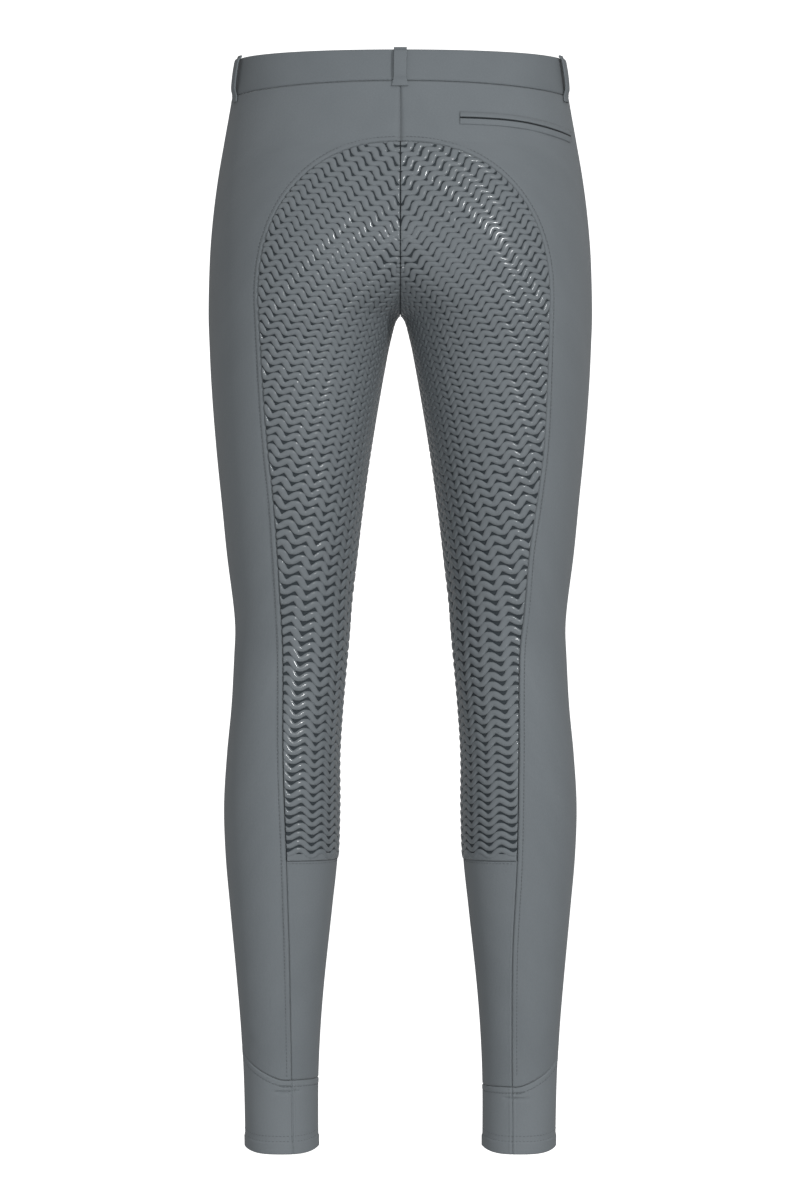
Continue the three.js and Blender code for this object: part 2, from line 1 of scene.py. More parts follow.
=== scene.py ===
# %% [markdown]
# Riding breeches, seen from behind in their worn form. Breeches are sewn from panels of stretch
# cloth: two outer panels that run from the waistband down the outside of each leg, a seat and
# inner leg panel printed with raised silicone waves for grip, plain calf panels, the fronts, a
# waistband with belt loops, and elastic cuffs. They could be made as one sculpted tube with painted
# seams, but a maker thinks in panels, and so does this file: every panel is its own thin shell over
# one formula for the worn form, and the seams are real gaps and ridges between the shells.

# %% Load the fixed model
import json
import math

import bpy
import numpy as np
from mathutils import Matrix

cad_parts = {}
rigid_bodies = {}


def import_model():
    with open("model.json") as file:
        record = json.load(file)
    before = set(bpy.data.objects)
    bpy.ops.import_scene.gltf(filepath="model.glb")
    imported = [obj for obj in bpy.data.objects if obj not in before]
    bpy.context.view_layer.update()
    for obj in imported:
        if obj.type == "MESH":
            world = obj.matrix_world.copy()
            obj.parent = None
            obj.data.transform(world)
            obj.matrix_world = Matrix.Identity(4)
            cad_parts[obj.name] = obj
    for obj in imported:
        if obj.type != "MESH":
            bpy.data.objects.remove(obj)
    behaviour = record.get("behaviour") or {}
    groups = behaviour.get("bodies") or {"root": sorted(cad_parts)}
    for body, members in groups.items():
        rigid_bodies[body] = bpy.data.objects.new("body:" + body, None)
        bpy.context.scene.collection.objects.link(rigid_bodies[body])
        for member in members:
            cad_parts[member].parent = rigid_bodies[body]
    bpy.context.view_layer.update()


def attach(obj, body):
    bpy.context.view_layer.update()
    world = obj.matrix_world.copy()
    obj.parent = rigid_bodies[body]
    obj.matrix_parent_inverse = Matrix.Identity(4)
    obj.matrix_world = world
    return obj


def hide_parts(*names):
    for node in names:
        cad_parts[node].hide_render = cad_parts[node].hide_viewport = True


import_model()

# %% [markdown]
# The sizes come first. They are the garment's own, in millimetres: +Z is up from the middle of the
# waist opening, the wearer's back faces -Y and the wearer's right is +X. A short table gives the
# worn form at a few heights, as a pattern maker measures a figure. A smooth curve through its rows
# fills in the rest, which keeps long even lines where a finer table would bring in bumps.

# %% Sizes of the garment
CLOTH = 1.6
SEAM_GAP = 0.3
WAIST_TO_HEM = -957.0
CROTCH = -223.0
HALVES_PART = -150.0
PARTING_POWER = 1.7
BACK_BREADTH = 300.0
CROTCH_ARCH = 5.5
CROTCH_ROUND = 4.0
BAND_BACK, BAND_SIDE = 27.0, 33.0
ARCH_TOP, ARCH_FOOT, ARCH_POWER = -81.0, -216.0, 2.25
GRIP_END = -700.0
CUFF_TOP, CUFF_POINT, CUFF_POINT_POWER = -892.0, 36.0, 1.3
CUFF_POINT_ANGLE, CUFF_POINT_SPREAD = math.radians(18), math.radians(113)
CUFF_SHIFT = {"left": -0.5, "right": -6.5}
HEM_HEIGHT, HEM_EXTRA, HEM_ROUND = 10.5, 0.7, 4.0

SECTION_COLUMNS = ["height", "outer", "inner", "ridge", "side", "back", "front", "power"]
SECTIONS = np.array([
    [0, 143.4, 0, 0, 0, -100, 100, 2.15],
    [-35, 148.3, 0, 0, 0, -106, 103, 2.15],
    [-70, 154.4, 0, 6, -1, -116, 105, 2.15],
    [-105, 160.3, 0, 22, -2, -126, 106, 2.15],
    [-140, 164.6, 0, 42, -4, -132, 105, 2.2],
    [-175, 167.2, 0, 60, -6, -134, 102, 2.2],
    [-223, 168.2, 0, 80, -8, -128, 96, 2.2],
    [-258, 167.2, 6.8, 88, -8, -118, 91, 2.2],
    [-302, 164.6, 14.7, 92, -8, -109, 86, 2.2],
    [-346, 161, 21.8, 94, -7, -101, 81, 2.2],
    [-390, 156.6, 27.9, 95, -6, -92, 76, 2.15],
    [-434, 152.2, 33.2, 95.5, -6, -82, 69, 2.1],
    [-478, 146.5, 38.1, 95, -7, -72, 60, 2.1],
    [-500, 144.8, 39.8, 95, -9, -69, 55, 2.1],
    [-522, 145.6, 41.6, 96, -11, -69, 50, 2.1],
    [-566, 147.8, 45.5, 99.5, -16, -75, 43, 2.1],
    [-610, 151.8, 48.2, 102.5, -20, -81, 38, 2.1],
    [-654, 154.2, 48.2, 104, -22, -82, 34, 2.1],
    [-698, 152.8, 49.7, 104, -21, -78, 31, 2.1],
    [-742, 149, 54.3, 104.5, -19, -71, 29, 2.1],
    [-808, 143, 61.4, 105, -16, -60, 27, 2.1],
    [-852, 139.5, 64.9, 105, -13, -53, 25, 2.05],
    [-896, 137.3, 66.7, 105, -11, -48, 24, 2.05],
    [-957, 136, 66.7, 104, -10, -47, 25, 2.05],
])
BACK_SEAM_COLUMNS = ["height", "left", "right"]
BACK_SEAM = np.array([
    [-216, 122, 128.5],
    [-302, 117.5, 126],
    [-346, 114, 123.5],
    [-390, 109.5, 118],
    [-434, 106.5, 111.5],
    [-478, 104, 108],
    [-522, 102, 103.5],
    [-610, 101.5, 102.5],
    [-700, 98.5, 101],
    [-790, 96, 97],
    [-957, 93.5, 97.5],
])
print("garment length:", -WAIST_TO_HEM, "mm, sections:", len(SECTIONS))

# %% [markdown]
# A table has a row only every few centimetres, so a curve has to run through the rows. Straight
# lines between them would show as creases, and one polynomial through them all would swing. A cubic
# from row to row, with the slope that its neighbours give, stays smooth and close to the table.

# %% A smooth curve through a table's rows
def column_at(table, column, height):
    """A cubic through the table's rows: each row's slope is that of the line through its neighbours."""
    depth, value = -table[:, 0], table[:, column]
    last = len(depth) - 1
    low = np.maximum(np.arange(last + 1) - 1, 0)
    high = np.minimum(np.arange(last + 1) + 1, last)
    slope = (value[high] - value[low]) / (depth[high] - depth[low])
    at = np.clip(-np.asarray(height, float), depth[0], depth[-1])
    row = np.clip(np.searchsorted(depth, at, side="right") - 1, 0, last - 1)
    span = depth[row + 1] - depth[row]
    t = (at - depth[row]) / span
    ends = value[row] * (1 + 2 * t) * (1 - t) ** 2 + value[row + 1] * t * t * (3 - 2 * t)
    return ends + span * (slope[row] * t * (1 - t) ** 2 - slope[row + 1] * t * t * (1 - t))


outer_column = SECTION_COLUMNS.index("outer")
print("half the width between two rows:", round(float(column_at(SECTIONS, outer_column, -240.0)), 1), "mm")

# %% [markdown]
# One formula gives every point of the cloth: a section that is nearly an ellipse, but a little
# squarer, as the back and seat of worn breeches are. Both legs could be modelled by hand from
# loops of vertices, but then the panels would never meet as exactly as they do when all of them
# are cut from the same formula.

# %% The worn form as a function of height and angle
BACK, FRONT = -1, 1


def section_at(height):
    """The half-section at a height. Above the crotch the middle plane cuts its inner part off."""
    height = np.asarray(height, float)
    row = {name: column_at(SECTIONS, k, height) for k, name in enumerate(SECTION_COLUMNS)}
    parted = np.clip((HALVES_PART - height) / (HALVES_PART - CROTCH), 0, None) ** PARTING_POWER
    share = parted + (1 - parted) * row["ridge"] / BACK_BREADTH
    above = np.where(row["ridge"] > 0, row["ridge"] / np.maximum(share, 1e-9), BACK_BREADTH)
    arch = CROTCH_ARCH * (1 - np.exp(np.minimum(height - CROTCH, 0) / CROTCH_ROUND))
    row["reach_in"] = np.where(height >= CROTCH, above, row["ridge"] - row["inner"] - arch)
    row["reach_out"] = row["outer"] - row["ridge"]
    return row


def body_point(height, angle):
    """x = ridge + reach |cos a|^(2/p), y = side + depth |sin a|^(2/p), each with the sign of its
    cosine or sine. Angle 0 is the side seam, -90 degrees the back, 180 degrees the inside leg."""
    height, angle = np.broadcast_arrays(np.asarray(height, float), np.asarray(angle, float))
    row = section_at(height)
    across = np.sign(np.cos(angle)) * np.abs(np.cos(angle)) ** (2 / row["power"])
    along = np.sign(np.sin(angle)) * np.abs(np.sin(angle)) ** (2 / row["power"])
    reach = np.where(across < 0, row["reach_in"], row["reach_out"])
    depth = np.where(along < 0, row["side"] - row["back"], row["front"] - row["side"])
    return np.stack([row["ridge"] + reach * across, row["side"] + depth * along, height], -1)


def body_normal(height, angle):
    """The outward normal: the cross product of a small turn and a small rise."""
    turn, rise = 0.02, 1.5
    around = body_point(height, angle + turn) - body_point(height, angle - turn)
    upward = body_point(height + rise, angle) - body_point(height - rise, angle)
    normal = np.cross(around, upward)
    return normal / np.linalg.norm(normal, axis=-1, keepdims=True)


def lifted(height, angle, lift, edge=0.0):
    """A point of the form moved out along its normal, kept on its own side of the middle plane."""
    height, angle = np.broadcast_arrays(np.asarray(height, float), np.asarray(angle, float))
    point = body_point(height, angle) + body_normal(height, angle) * np.asarray(lift)[..., None]
    point[..., 0] = np.maximum(point[..., 0], edge)
    return point


hip = body_point(-175.0, np.linspace(-math.pi, math.pi, 9))
print("widest at the hips:", round(float(2 * hip[:, 0].max())), "mm")

# %% [markdown]
# Every seam and edge is a line on that form, so each is a function that turns a height into an
# angle, or an angle into a height. They could be curves drawn on the surface, but as functions they
# give any panel its edge, shifted by as much cloth as its seam needs.

# %% Seams and edges as places on the form
def angle_at(height, distance, face):
    """The angle where the section at a height is a given distance from the middle plane."""
    row = section_at(height)
    reach = np.where(distance < row["ridge"], row["reach_in"], row["reach_out"])
    share = np.clip((distance - row["ridge"]) / reach, -1, 1)
    return face * np.arccos(np.sign(share) * np.abs(share) ** (row["power"] / 2))


def turn_for(height, angle, length):
    """The turn that moves a point of the section by a length of cloth."""
    step = 0.05
    run = np.linalg.norm(body_point(height, angle + step) - body_point(height, angle - step), axis=-1)
    return length * 2 * step / run


def inner_angle(height, face):
    """The inner edge of a panel: the middle plane above the crotch, the inside leg seam below it."""
    limit = math.pi - turn_for(height, face * math.pi, SEAM_GAP / 2)
    return face * np.minimum(np.abs(angle_at(height, 0.0, face)), limit)


def seam_distance(height, side):
    """The back seam from the middle: foot * (1 - rise^p)^(1/p) on the arch, then the seam table."""
    column = BACK_SEAM_COLUMNS.index(side)
    rise = np.clip((height - ARCH_FOOT) / (ARCH_TOP - ARCH_FOOT), 0, 1)
    arch = BACK_SEAM[0, column] * (1 - rise**ARCH_POWER) ** (1 / ARCH_POWER)
    return np.where(height > ARCH_FOOT, arch, column_at(BACK_SEAM, column, height))


def seam_angle(height, side, shift=0.0):
    """The back seam's angle, shifted by a length of cloth towards the side seam."""
    angle = angle_at(height, seam_distance(height, side), BACK)
    return angle + turn_for(height, angle, shift)


def band_foot(angle):
    """The waistband's lower edge: a little higher at the centre back than at the sides."""
    return -(BAND_SIDE - (BAND_SIDE - BAND_BACK) * np.maximum(0, -np.sin(angle)) ** 2)


def cuff_top(angle, side):
    """The cuff's upper edge: level inside the leg, rising to a point on the outer side, as
    height * (1 - turn / spread)^1.3. The right cuff was sewn on a little lower than the left."""
    away = np.abs(angle - CUFF_POINT_ANGLE) % (2 * math.pi)
    away = np.minimum(away, 2 * math.pi - away)
    rise = CUFF_POINT * np.clip(1 - away / CUFF_POINT_SPREAD, 0, 1) ** CUFF_POINT_POWER
    return CUFF_TOP + CUFF_SHIFT[side] + rise


def hem_at(angle):
    """The hem: level behind, and rounded up a little towards both sides, by the cosine's fourth
    power."""
    return WAIST_TO_HEM + HEM_ROUND * np.cos(angle) ** 4


print("the arch at half its width:", round(float(seam_distance(-102.0, "left"))), "mm from the middle")

# %% [markdown]
# All meshes here are one of two kinds. A wall is a closed shell between two grids of points, for
# cloth. A tube is a closed section carried along a path, for threads, straps and printed waves.
# Blender's Solidify would thicken a single sheet too, but the seams need an outer face that rises
# and dips over a plain inner one, so both faces are worked out.

# %% Points into meshes
MM = 0.001
SIDES = ("left", "right")
PIECES = {}


def add_mesh(name, points, faces, material, flat=None):
    """A mesh in metres from points in mm. Its faces are turned outwards if its volume is negative.
    flat gives each point's place on the cloth in mm, which becomes the UV map named cloth."""
    corner = points[faces]
    volume = np.einsum("ij,ij->", corner[:, 0], np.cross(corner[:, 1], corner[:, 2]))
    volume += np.einsum("ij,ij->", corner[:, 0], np.cross(corner[:, 2], corner[:, 3]))
    if volume < 0:
        faces = faces[:, ::-1]
    mesh = bpy.data.meshes.new(name)
    mesh.from_pydata((points * MM).tolist(), [], faces.tolist())
    mesh.polygons.foreach_set("use_smooth", np.ones(len(faces), bool))
    if flat is not None:
        layer = mesh.uv_layers.new(name="cloth")
        layer.data.foreach_set("uv", (flat[faces.ravel()] * MM).astype(np.float32).ravel())
    mesh.materials.append(material)
    mesh.update()
    piece = bpy.data.objects.new(name, mesh)
    bpy.context.scene.collection.objects.link(piece)
    print(f"{name}: {len(mesh.polygons) * 2} triangles")
    return piece


def mirrored(points, side):
    """The left leg is the right one with x turned round."""
    return points * [-1.0, 1.0, 1.0] if side == "left" else points


def flat_places(grid):
    """Each point's place on the cloth: the length across from the first column, and down from the
    first row, both summed over the grid's steps."""
    across = np.linalg.norm(np.diff(grid, axis=1), axis=-1).cumsum(1)
    down = np.linalg.norm(np.diff(grid, axis=0), axis=-1).cumsum(0)
    across = np.hstack([np.zeros((len(grid), 1)), across])
    down = np.vstack([np.zeros((1, grid.shape[1])), down])
    return np.stack([across - across.mean(1, keepdims=True), -down], -1)


def flat_grid(across, down):
    """Places on the cloth from its lengths across and down, in the order of a tube's points."""
    return np.stack(np.broadcast_arrays(across, down), -1).reshape(-1, 2)


# %% [markdown]
# These two functions make the two kinds. Both take whole grids of points and number their corners
# with arrays, so that a panel of ten thousand faces takes no longer to write than one of ten.

# %% Walls and tubes
def wall(outer, inner, ring=False):
    """Points and faces of a closed shell between two grids (rows, columns, 3). A ring has no edge
    where its last column meets its first."""
    rows, columns = outer.shape[:2]
    index = np.arange(rows * columns).reshape(rows, columns)
    if ring:
        index = np.hstack([index, index[:, :1]])
    behind = rows * columns
    near = np.stack([index[:-1, :-1], index[1:, :-1], index[1:, 1:], index[:-1, 1:]], -1).reshape(-1, 4)

    def rim(line):
        return np.stack([line[:-1], line[1:], line[1:] + behind, line[:-1] + behind], -1)

    rims = [rim(index[0]), rim(index[-1][::-1])]
    if not ring:
        rims += [rim(index[::-1, 0]), rim(index[:, -1])]
    faces = np.vstack([near, near[:, ::-1] + behind, *rims])
    return np.vstack([outer.reshape(-1, 3), inner.reshape(-1, 3)]), faces


def tubes(rings):
    """Points and faces of closed tubes, from rings (tube, step, corner, 3) with an even number of
    corners. Each end is closed by a fan of quads."""
    count, steps, corners = rings.shape[:3]
    index = np.arange(count * steps * corners).reshape(count, steps, corners)
    ahead = np.roll(index, -1, axis=2)
    sides = np.stack([index[:, :-1], ahead[:, :-1], ahead[:, 1:], index[:, 1:]], -1).reshape(-1, 4)
    fan = np.array([[0, k, k + 1, k + 2] for k in range(1, corners - 2, 2)])
    first = index[:, 0][:, fan].reshape(-1, 4)
    final = index[:, -1][:, fan].reshape(-1, 4)
    return rings.reshape(-1, 3), np.vstack([sides, first[:, ::-1], final])


def tube_piece(name, rings, material, flat=None, side="right"):
    """Tubes made into one piece and kept."""
    points, faces = tubes(rings)
    PIECES[name] = add_mesh(name, mirrored(points, side), faces, material, flat)


# %% [markdown]
# Three small measures serve the whole file: steps that are close together only where the cloth
# bends, the distance to a seam, and a step with soft ends. Blender's own falloffs do the same on
# vertex groups, but numbers in arrays can be added up before any mesh exists.

# %% Steps, distances and soft steps
def spaced(*stops):
    """Values from the first stop to the last. Each stop is a value and the step that follows it."""
    parts = [
        np.linspace(start, end, max(1, round(abs(end - start) / step)), endpoint=False)
        for (start, step), (end, _) in zip(stops, stops[1:])
    ]
    return np.append(np.concatenate(parts), stops[-1][0])


def distance_to(points, line):
    """The distance from each point to a line of straight lengths: sqrt(|p - a|^2 - 2 t (p - a).(b - a)
    + t^2 |b - a|^2), where t is the place of the nearest point between the ends a and b."""
    start, run = line[:-1], np.diff(line, axis=0)
    square = (run * run).sum(1)
    nearest = []
    for part in np.array_split(points.reshape(-1, 3), 20):
        along = part @ run.T - (start * run).sum(1)
        apart = (part * part).sum(1)[:, None] + (start * start).sum(1) - 2 * part @ start.T
        t = np.clip(along / np.maximum(square, 1e-9), 0, 1)
        nearest.append((apart - 2 * t * along + t * t * square).min(1))
    return np.sqrt(np.maximum(np.concatenate(nearest), 0)).reshape(points.shape[:-1])


def smooth_step(low, high, value):
    """0 below low, 1 above high, and t^2 (3 - 2t) in between."""
    t = np.clip((value - low) / (high - low), 0, 1)
    return t * t * (3 - 2 * t)


print("steps beside a seam:", spaced((0, 0.5), (1, 2), (5, 0)))

# %% [markdown]
# The finishes. The outer cloth is a matt polyamide and elastane twill with a very fine diagonal
# rib. Image textures could show it, but a procedural twill on the cloth's own UV map keeps its
# scale on every panel and never blurs. Each material is one chain: a pattern for the thread, a
# softer one for the slight unevenness of dyed cloth, and the shader. These helpers are what every
# chain needs.

# %% Colour and node helpers
def linear(hex_colour):
    """sRGB hex to linear: c / 12.92 below 0.04045, and ((c + 0.055) / 1.055)^2.4 above."""
    channels = [int(hex_colour[k : k + 2], 16) / 255 for k in (1, 3, 5)]
    return [c / 12.92 if c <= 0.04045 else ((c + 0.055) / 1.055) ** 2.4 for c in channels] + [1.0]


def add_node(material, kind, inputs=(), **settings):
    """A node with its settings. Each input is a number, a colour or another node's output."""
    node = material.node_tree.nodes.new(kind)
    for name, value in settings.items():
        setattr(node, name, value)
    for name, value in dict(inputs).items():
        if isinstance(value, bpy.types.NodeSocket):
            material.node_tree.links.new(value, node.inputs[name])
        else:
            node.inputs[name].default_value = value
    return node


def new_material(name):
    """A material with no nodes yet, for a chain that is built by hand."""
    material = bpy.data.materials.new(name)
    material.use_nodes = True
    material.node_tree.nodes.clear()
    return material


def two_tones(material, pattern, colour, shade):
    """The shade where a pattern is below 0.35, the colour above 0.65, and a blend in between."""
    share = add_node(
        material, "ShaderNodeMapRange", {"Value": pattern, "From Min": 0.35, "From Max": 0.65}
    )
    tint = add_node(material, "ShaderNodeMix", {"Factor": share.outputs["Result"]}, data_type="RGBA")
    tint.inputs[6].default_value, tint.inputs[7].default_value = linear(shade), linear(colour)
    return tint.outputs[2]


def finished(material, tint, relief, strength, depth_mm, values):
    """The end of a chain: the shader on a tint and a relief, with its own values by their names."""
    depth = {"Height": relief, "Strength": strength, "Distance": depth_mm * MM}
    bump = add_node(material, "ShaderNodeBump", depth)
    inputs = {"Base Color": tint, "Normal": bump.outputs["Normal"], **values}
    shader = add_node(material, "ShaderNodeBsdfPrincipled", inputs)
    add_node(material, "ShaderNodeOutputMaterial", {"Surface": shader.outputs["BSDF"]})
    return material


print("the middle grey #808080 in linear light:", round(linear("#808080")[0], 3))

# %% [markdown]
# Twill has a fine diagonal rib, and warp knit a fine upright one. Each rib could be modelled, but at
# 0.4 mm it is far below what shows. A wave texture bumps the surface instead, broken up by noise
# the size of a thread, and a broad noise shifts the shade, as dye does.

# %% Woven and knitted cloth
THREAD_MM, CLOUD_MM = 1.6, 70.0


def cloth_material(name, colour, shade, rib_mm, rib_angle, bump_mm, roughness, sheen):
    """Twill or knit: fine ribs at an angle on the cloth's UV map, broken by thread noise, with a
    broad and faint change of shade. The rib is drawn coarser than the real 0.4 mm, to show. A wave
    texture repeats every 2 pi / (20 * scale)."""
    material = new_material(name)
    place = add_node(material, "ShaderNodeUVMap", uv_map="cloth").outputs["UV"]
    mapping = add_node(material, "ShaderNodeMapping", {"Vector": place, "Rotation": (0, 0, rib_angle)})
    turned = mapping.outputs["Vector"]
    rib = {"Scale": 2 * math.pi / (20 * rib_mm * MM), "Distortion": 1.2, "Detail": 1.0, "Detail Scale": 0.6}
    thread = {"Scale": 1 / (THREAD_MM * MM), "Detail": 4.0, "Roughness": 0.7}
    cloud = {"Scale": 1 / (CLOUD_MM * MM), "Detail": 3.0, "Roughness": 0.55}
    ribs = add_node(material, "ShaderNodeTexWave", {"Vector": turned, **rib}).outputs["Fac"]
    threads = add_node(material, "ShaderNodeTexNoise", {"Vector": turned, **thread}).outputs["Fac"]
    clouds = add_node(material, "ShaderNodeTexNoise", {"Vector": place, **cloud}).outputs["Fac"]
    woven, uneven = (
        add_node(material, "ShaderNodeMix", inputs, data_type="FLOAT").outputs[0]
        for inputs in (
            {"Factor": 0.45, "A": ribs, "B": threads},
            {"Factor": 0.5, "A": threads, "B": clouds},
        )
    )
    tint = two_tones(material, uneven, colour, shade)
    soft = {"IOR": 1.5, "Specular IOR Level": 0.3, "Sheen Weight": sheen, "Sheen Roughness": 0.5}
    return finished(material, tint, woven, 0.6, bump_mm, {"Roughness": roughness, **soft})


# Polyamide twill: dyed in the piece and brushed a little, so it stays matt and even
TWILL = cloth_material("polyamide_twill", "#747a7e", "#6c7276", 1.1, math.radians(63), 0.10, 0.85, 0.12)
# The same twill folded double and pressed, a shade deeper
BAND_TWILL = cloth_material("pressed_twill", "#70767a", "#696f73", 1.1, math.radians(63), 0.08, 0.82, 0.1)
# Elastic warp knit of the cuffs: smoother, with fine upright ribs
CUFF_KNIT = cloth_material("elastic_warp_knit", "#787e82", "#71777b", 1.0, 0.0, 0.06, 0.78, 0.1)
# The cloth under the printed waves: its dark colour is painted shade for the gaps between them
GRIP_GROUND_PAINTED_SHADE = cloth_material(
    "grip_ground_painted_shade", "#3a4044", "#32383c", 1.1, math.radians(63), 0.1, 0.9, 0.05
)
print("cloths:", [material.name for material in bpy.data.materials])

# %% [markdown]
# The waves, the threads, the pocket bag and the button have no weave of their own at this scale.
# One chain serves all four: two close shades in soft patches, and the gloss of the real stuff.
# Plain colours would do in this light, but even a moulded surface is never of one shade.

# %% Silicone, thread and moulded plastic
def smooth_material(name, colour, shade, patch_mm, bump_mm, roughness, ior, sheen=0.0):
    """Printed or moulded matter on Object coordinates: two close shades in soft patches, and a
    slight unevenness in the surface."""
    material = new_material(name)
    place = add_node(material, "ShaderNodeTexCoord").outputs["Object"]
    patch = {"Vector": place, "Scale": 1 / (patch_mm * MM), "Detail": 3.0}
    patches = add_node(material, "ShaderNodeTexNoise", patch).outputs["Fac"]
    tint = two_tones(material, patches, colour, shade)
    values = {"Roughness": roughness, "IOR": ior, "Sheen Weight": sheen}
    return finished(material, tint, patches, 0.5, bump_mm, values)


# Satin silicone, screen printed and cured: rounded edges that catch small highlights
SILICONE = smooth_material("printed_silicone", "#72787c", "#70767a", 9.0, 0.02, 0.17, 1.41)
# Spun polyester sewing thread, a tone below the cloth
THREAD = smooth_material("polyester_thread", "#5f6569", "#54595d", 0.8, 0.05, 0.7, 1.5, 0.2)
# Brushed tricot of the pocket bag, seen only in the slit: its near-black colour is painted shade
POCKET_MOUTH_PAINTED_SHADE = smooth_material("pocket_bag_tricot_painted_shade", "#24292c", "#1c2023", 2.0, 0.05, 0.9, 1.5, 0.1)
# Polyester button, moulded and tumbled: a soft gloss
BUTTON_RESIN = smooth_material("moulded_polyester_resin", "#3e4245", "#34383b", 5.0, 0.02, 0.32, 1.55)
print("materials:", [material.name for material in bpy.data.materials])

# %% [markdown]
# A seam shows as three things: a dark line where both edges dive inwards, a soft rib over the
# allowance that is folded under, and a faint groove where the stitches hold it down. Bump alone
# would vanish at the silhouette, so they are in the points: each panel's outer face is lifted and
# lowered by its distance from the seams.

# %% Seam lines and their relief
def seam_relief(distance, dip=0.8, rib=0.2, width=3.0, groove=0.06, spread=0.6):
    """-dip e^-(d/spread)^2, plus a rib between 0.6 mm and its width, less a groove just past it."""
    raised = smooth_step(0.5, 1.4, distance) - smooth_step(width - 0.9, width + 0.3, distance)
    held = np.exp(-(((distance - width - 0.3) / 0.55) ** 2))
    return rib * raised - dip * np.exp(-((distance / spread) ** 2)) - groove * held


LAPPED = {"dip": 0.7, "rib": 0.5, "width": 4.3, "groove": 0.22}
PRESSED = {"dip": 1.0, "rib": 0.22, "width": 2.6, "groove": 0.08}
INSIDE_LEG = {"dip": 0.6, "rib": 0.3, "width": 3.6, "groove": 0.25}
BAND_SEAM = {"dip": 1.1, "rib": 0.0, "spread": 0.8, "groove": 0.0}
CALF_SEAM = {"dip": 0.45, "rib": 0.1, "width": 2.6, "groove": 0.04}
CUFF_SEAM = {"dip": 0.5, "rib": 0.2, "width": 5.0, "groove": 0.22}
CUFF_BACK_SEAM = {"dip": 1.0, "rib": 0.25, "width": 3.2}
SUNK = {"dip": 0.8, "rib": 0.0, "groove": 0.0}

ALL_THE_WAY = spaced((-30.0, 4.0), (WAIST_TO_HEM, 0))
AROUND = np.linspace(-math.pi, math.pi, 260)


def back_seam_line(side):
    """The seam between outer and inner panels: over the arch, then down to the hem."""
    turn = np.linspace(0, math.pi / 2, 130)
    arch = ARCH_FOOT + (ARCH_TOP - ARCH_FOOT) * np.cos(turn) ** (2 / ARCH_POWER)
    heights = np.concatenate([arch, spaced((ARCH_FOOT - 3.0, 3.0), (WAIST_TO_HEM, 0))])
    return body_point(heights, seam_angle(heights, side))


MIDDLE_BACK = spaced((-26.0, 3.0), (CROTCH, 0))
SEAM_LINES = {
    "middle_back": body_point(MIDDLE_BACK, angle_at(MIDDLE_BACK, 0.0, BACK)),
    "middle_front": body_point(MIDDLE_BACK, angle_at(MIDDLE_BACK, 0.0, FRONT)),
    "side": body_point(ALL_THE_WAY, 0.0),
    "inside_leg": body_point(spaced((CROTCH, 1.0), (CROTCH - 20, 4.0), (WAIST_TO_HEM, 0)), math.pi),
    "band": body_point(band_foot(AROUND), AROUND),
    "cuff_left": body_point(cuff_top(AROUND, "left"), AROUND),
    "cuff_right": body_point(cuff_top(AROUND, "right"), AROUND),
    "back_left": back_seam_line("left"),
    "back_right": back_seam_line("right"),
}
GRIP_FOOT_ANGLES = np.linspace(-math.pi, -1.0, 60)
SEAM_LINES["grip_end"] = body_point(GRIP_END, GRIP_FOOT_ANGLES)
print("seam lines:", {name: len(line) for name, line in SEAM_LINES.items()})

# %% [markdown]
# Stretch breeches fit closely, so they show few creases: shallow strain lines beside the crotch,
# soft folds behind and in front of the knee and a hollow or two above the cuff. Cloth simulation
# would wrinkle them all over. They are placed one by one instead, each a long soft trough with its
# own length, breadth and depth, and some are there for the sides that the photograph doesn't show.

# %% Creases placed one by one
# Columns: height, degrees round the leg, half length, breadth, depth, tilt in degrees
CREASES = np.array([
    [-492, -118, 26, 9, 0.55, 8],
    [-512, -60, 30, 11, 0.5, -12],
    [-470, -35, 24, 10, 0.4, -20],
    [-505, -150, 20, 8, 0.5, 14],
    [-545, 60, 34, 12, 0.7, 10],
    [-508, 95, 30, 10, 0.6, -8],
    [-575, 110, 24, 9, 0.5, 16],
    [-250, 118, 40, 12, 0.9, -34],
    [-236, 96, 46, 13, 0.8, -24],
    [-272, 140, 34, 10, 0.8, -48],
    [-208, 60, 40, 14, 0.6, -18],
    [-262, -30, 44, 16, 0.35, 22],
    [-860, -40, 22, 8, 0.5, 10],
    [-878, 60, 24, 8, 0.5, -12],
    [-846, 120, 20, 8, 0.45, 8],
    [-640, -20, 50, 14, 0.3, 80],
])
FORM_RADIUS = 72.0


def crease_relief(height, angle):
    """The sum over the creases of -depth e^-(along/half)^2 e^-(across/breadth)^2, with a low ridge
    on the upper side of each."""
    relief = np.zeros(np.broadcast(height, angle).shape)
    for level, degrees, half, breadth, depth, tilt in CREASES:
        run = (angle - math.radians(degrees)) * FORM_RADIUS
        rise = height - level
        along = run * math.cos(math.radians(tilt)) + rise * math.sin(math.radians(tilt))
        across = rise * math.cos(math.radians(tilt)) - run * math.sin(math.radians(tilt))
        fade = np.exp(-((along / half) ** 2))
        trough = np.exp(-((across / breadth) ** 2))
        ridge = 0.5 * np.exp(-(((across - 1.5 * breadth) / breadth) ** 2))
        relief += depth * fade * (ridge - trough)
    return relief


print("creases on each leg:", len(CREASES))

# %% [markdown]
# Every panel is cut by the same function: rows of heights from its upper edge to its lower one,
# and columns from one seam to the next, closer together beside a seam, where the relief is fine.
# A plane cut by curves would also do, but rows and columns that follow the seams give clean edges.

# %% The function that cuts a panel
EDGE_SHARES = spaced((0, 0.8), (6, 3.8), (104, 0.8), (110, 0)) / 110
UPPER_LEVELS = -spaced((33.3, 0.8), (37, 4), (72, 0.7), (100, 1.2), (132, 2.2), (216, 4), (240, 0))
LEG_LEVELS = -spaced((244, 4.4), (876, 4), (886, 0.9), (-CUFF_TOP - SEAM_GAP, 0))
EASE_TOP, EASE_FOOT = -76.0, -770.0


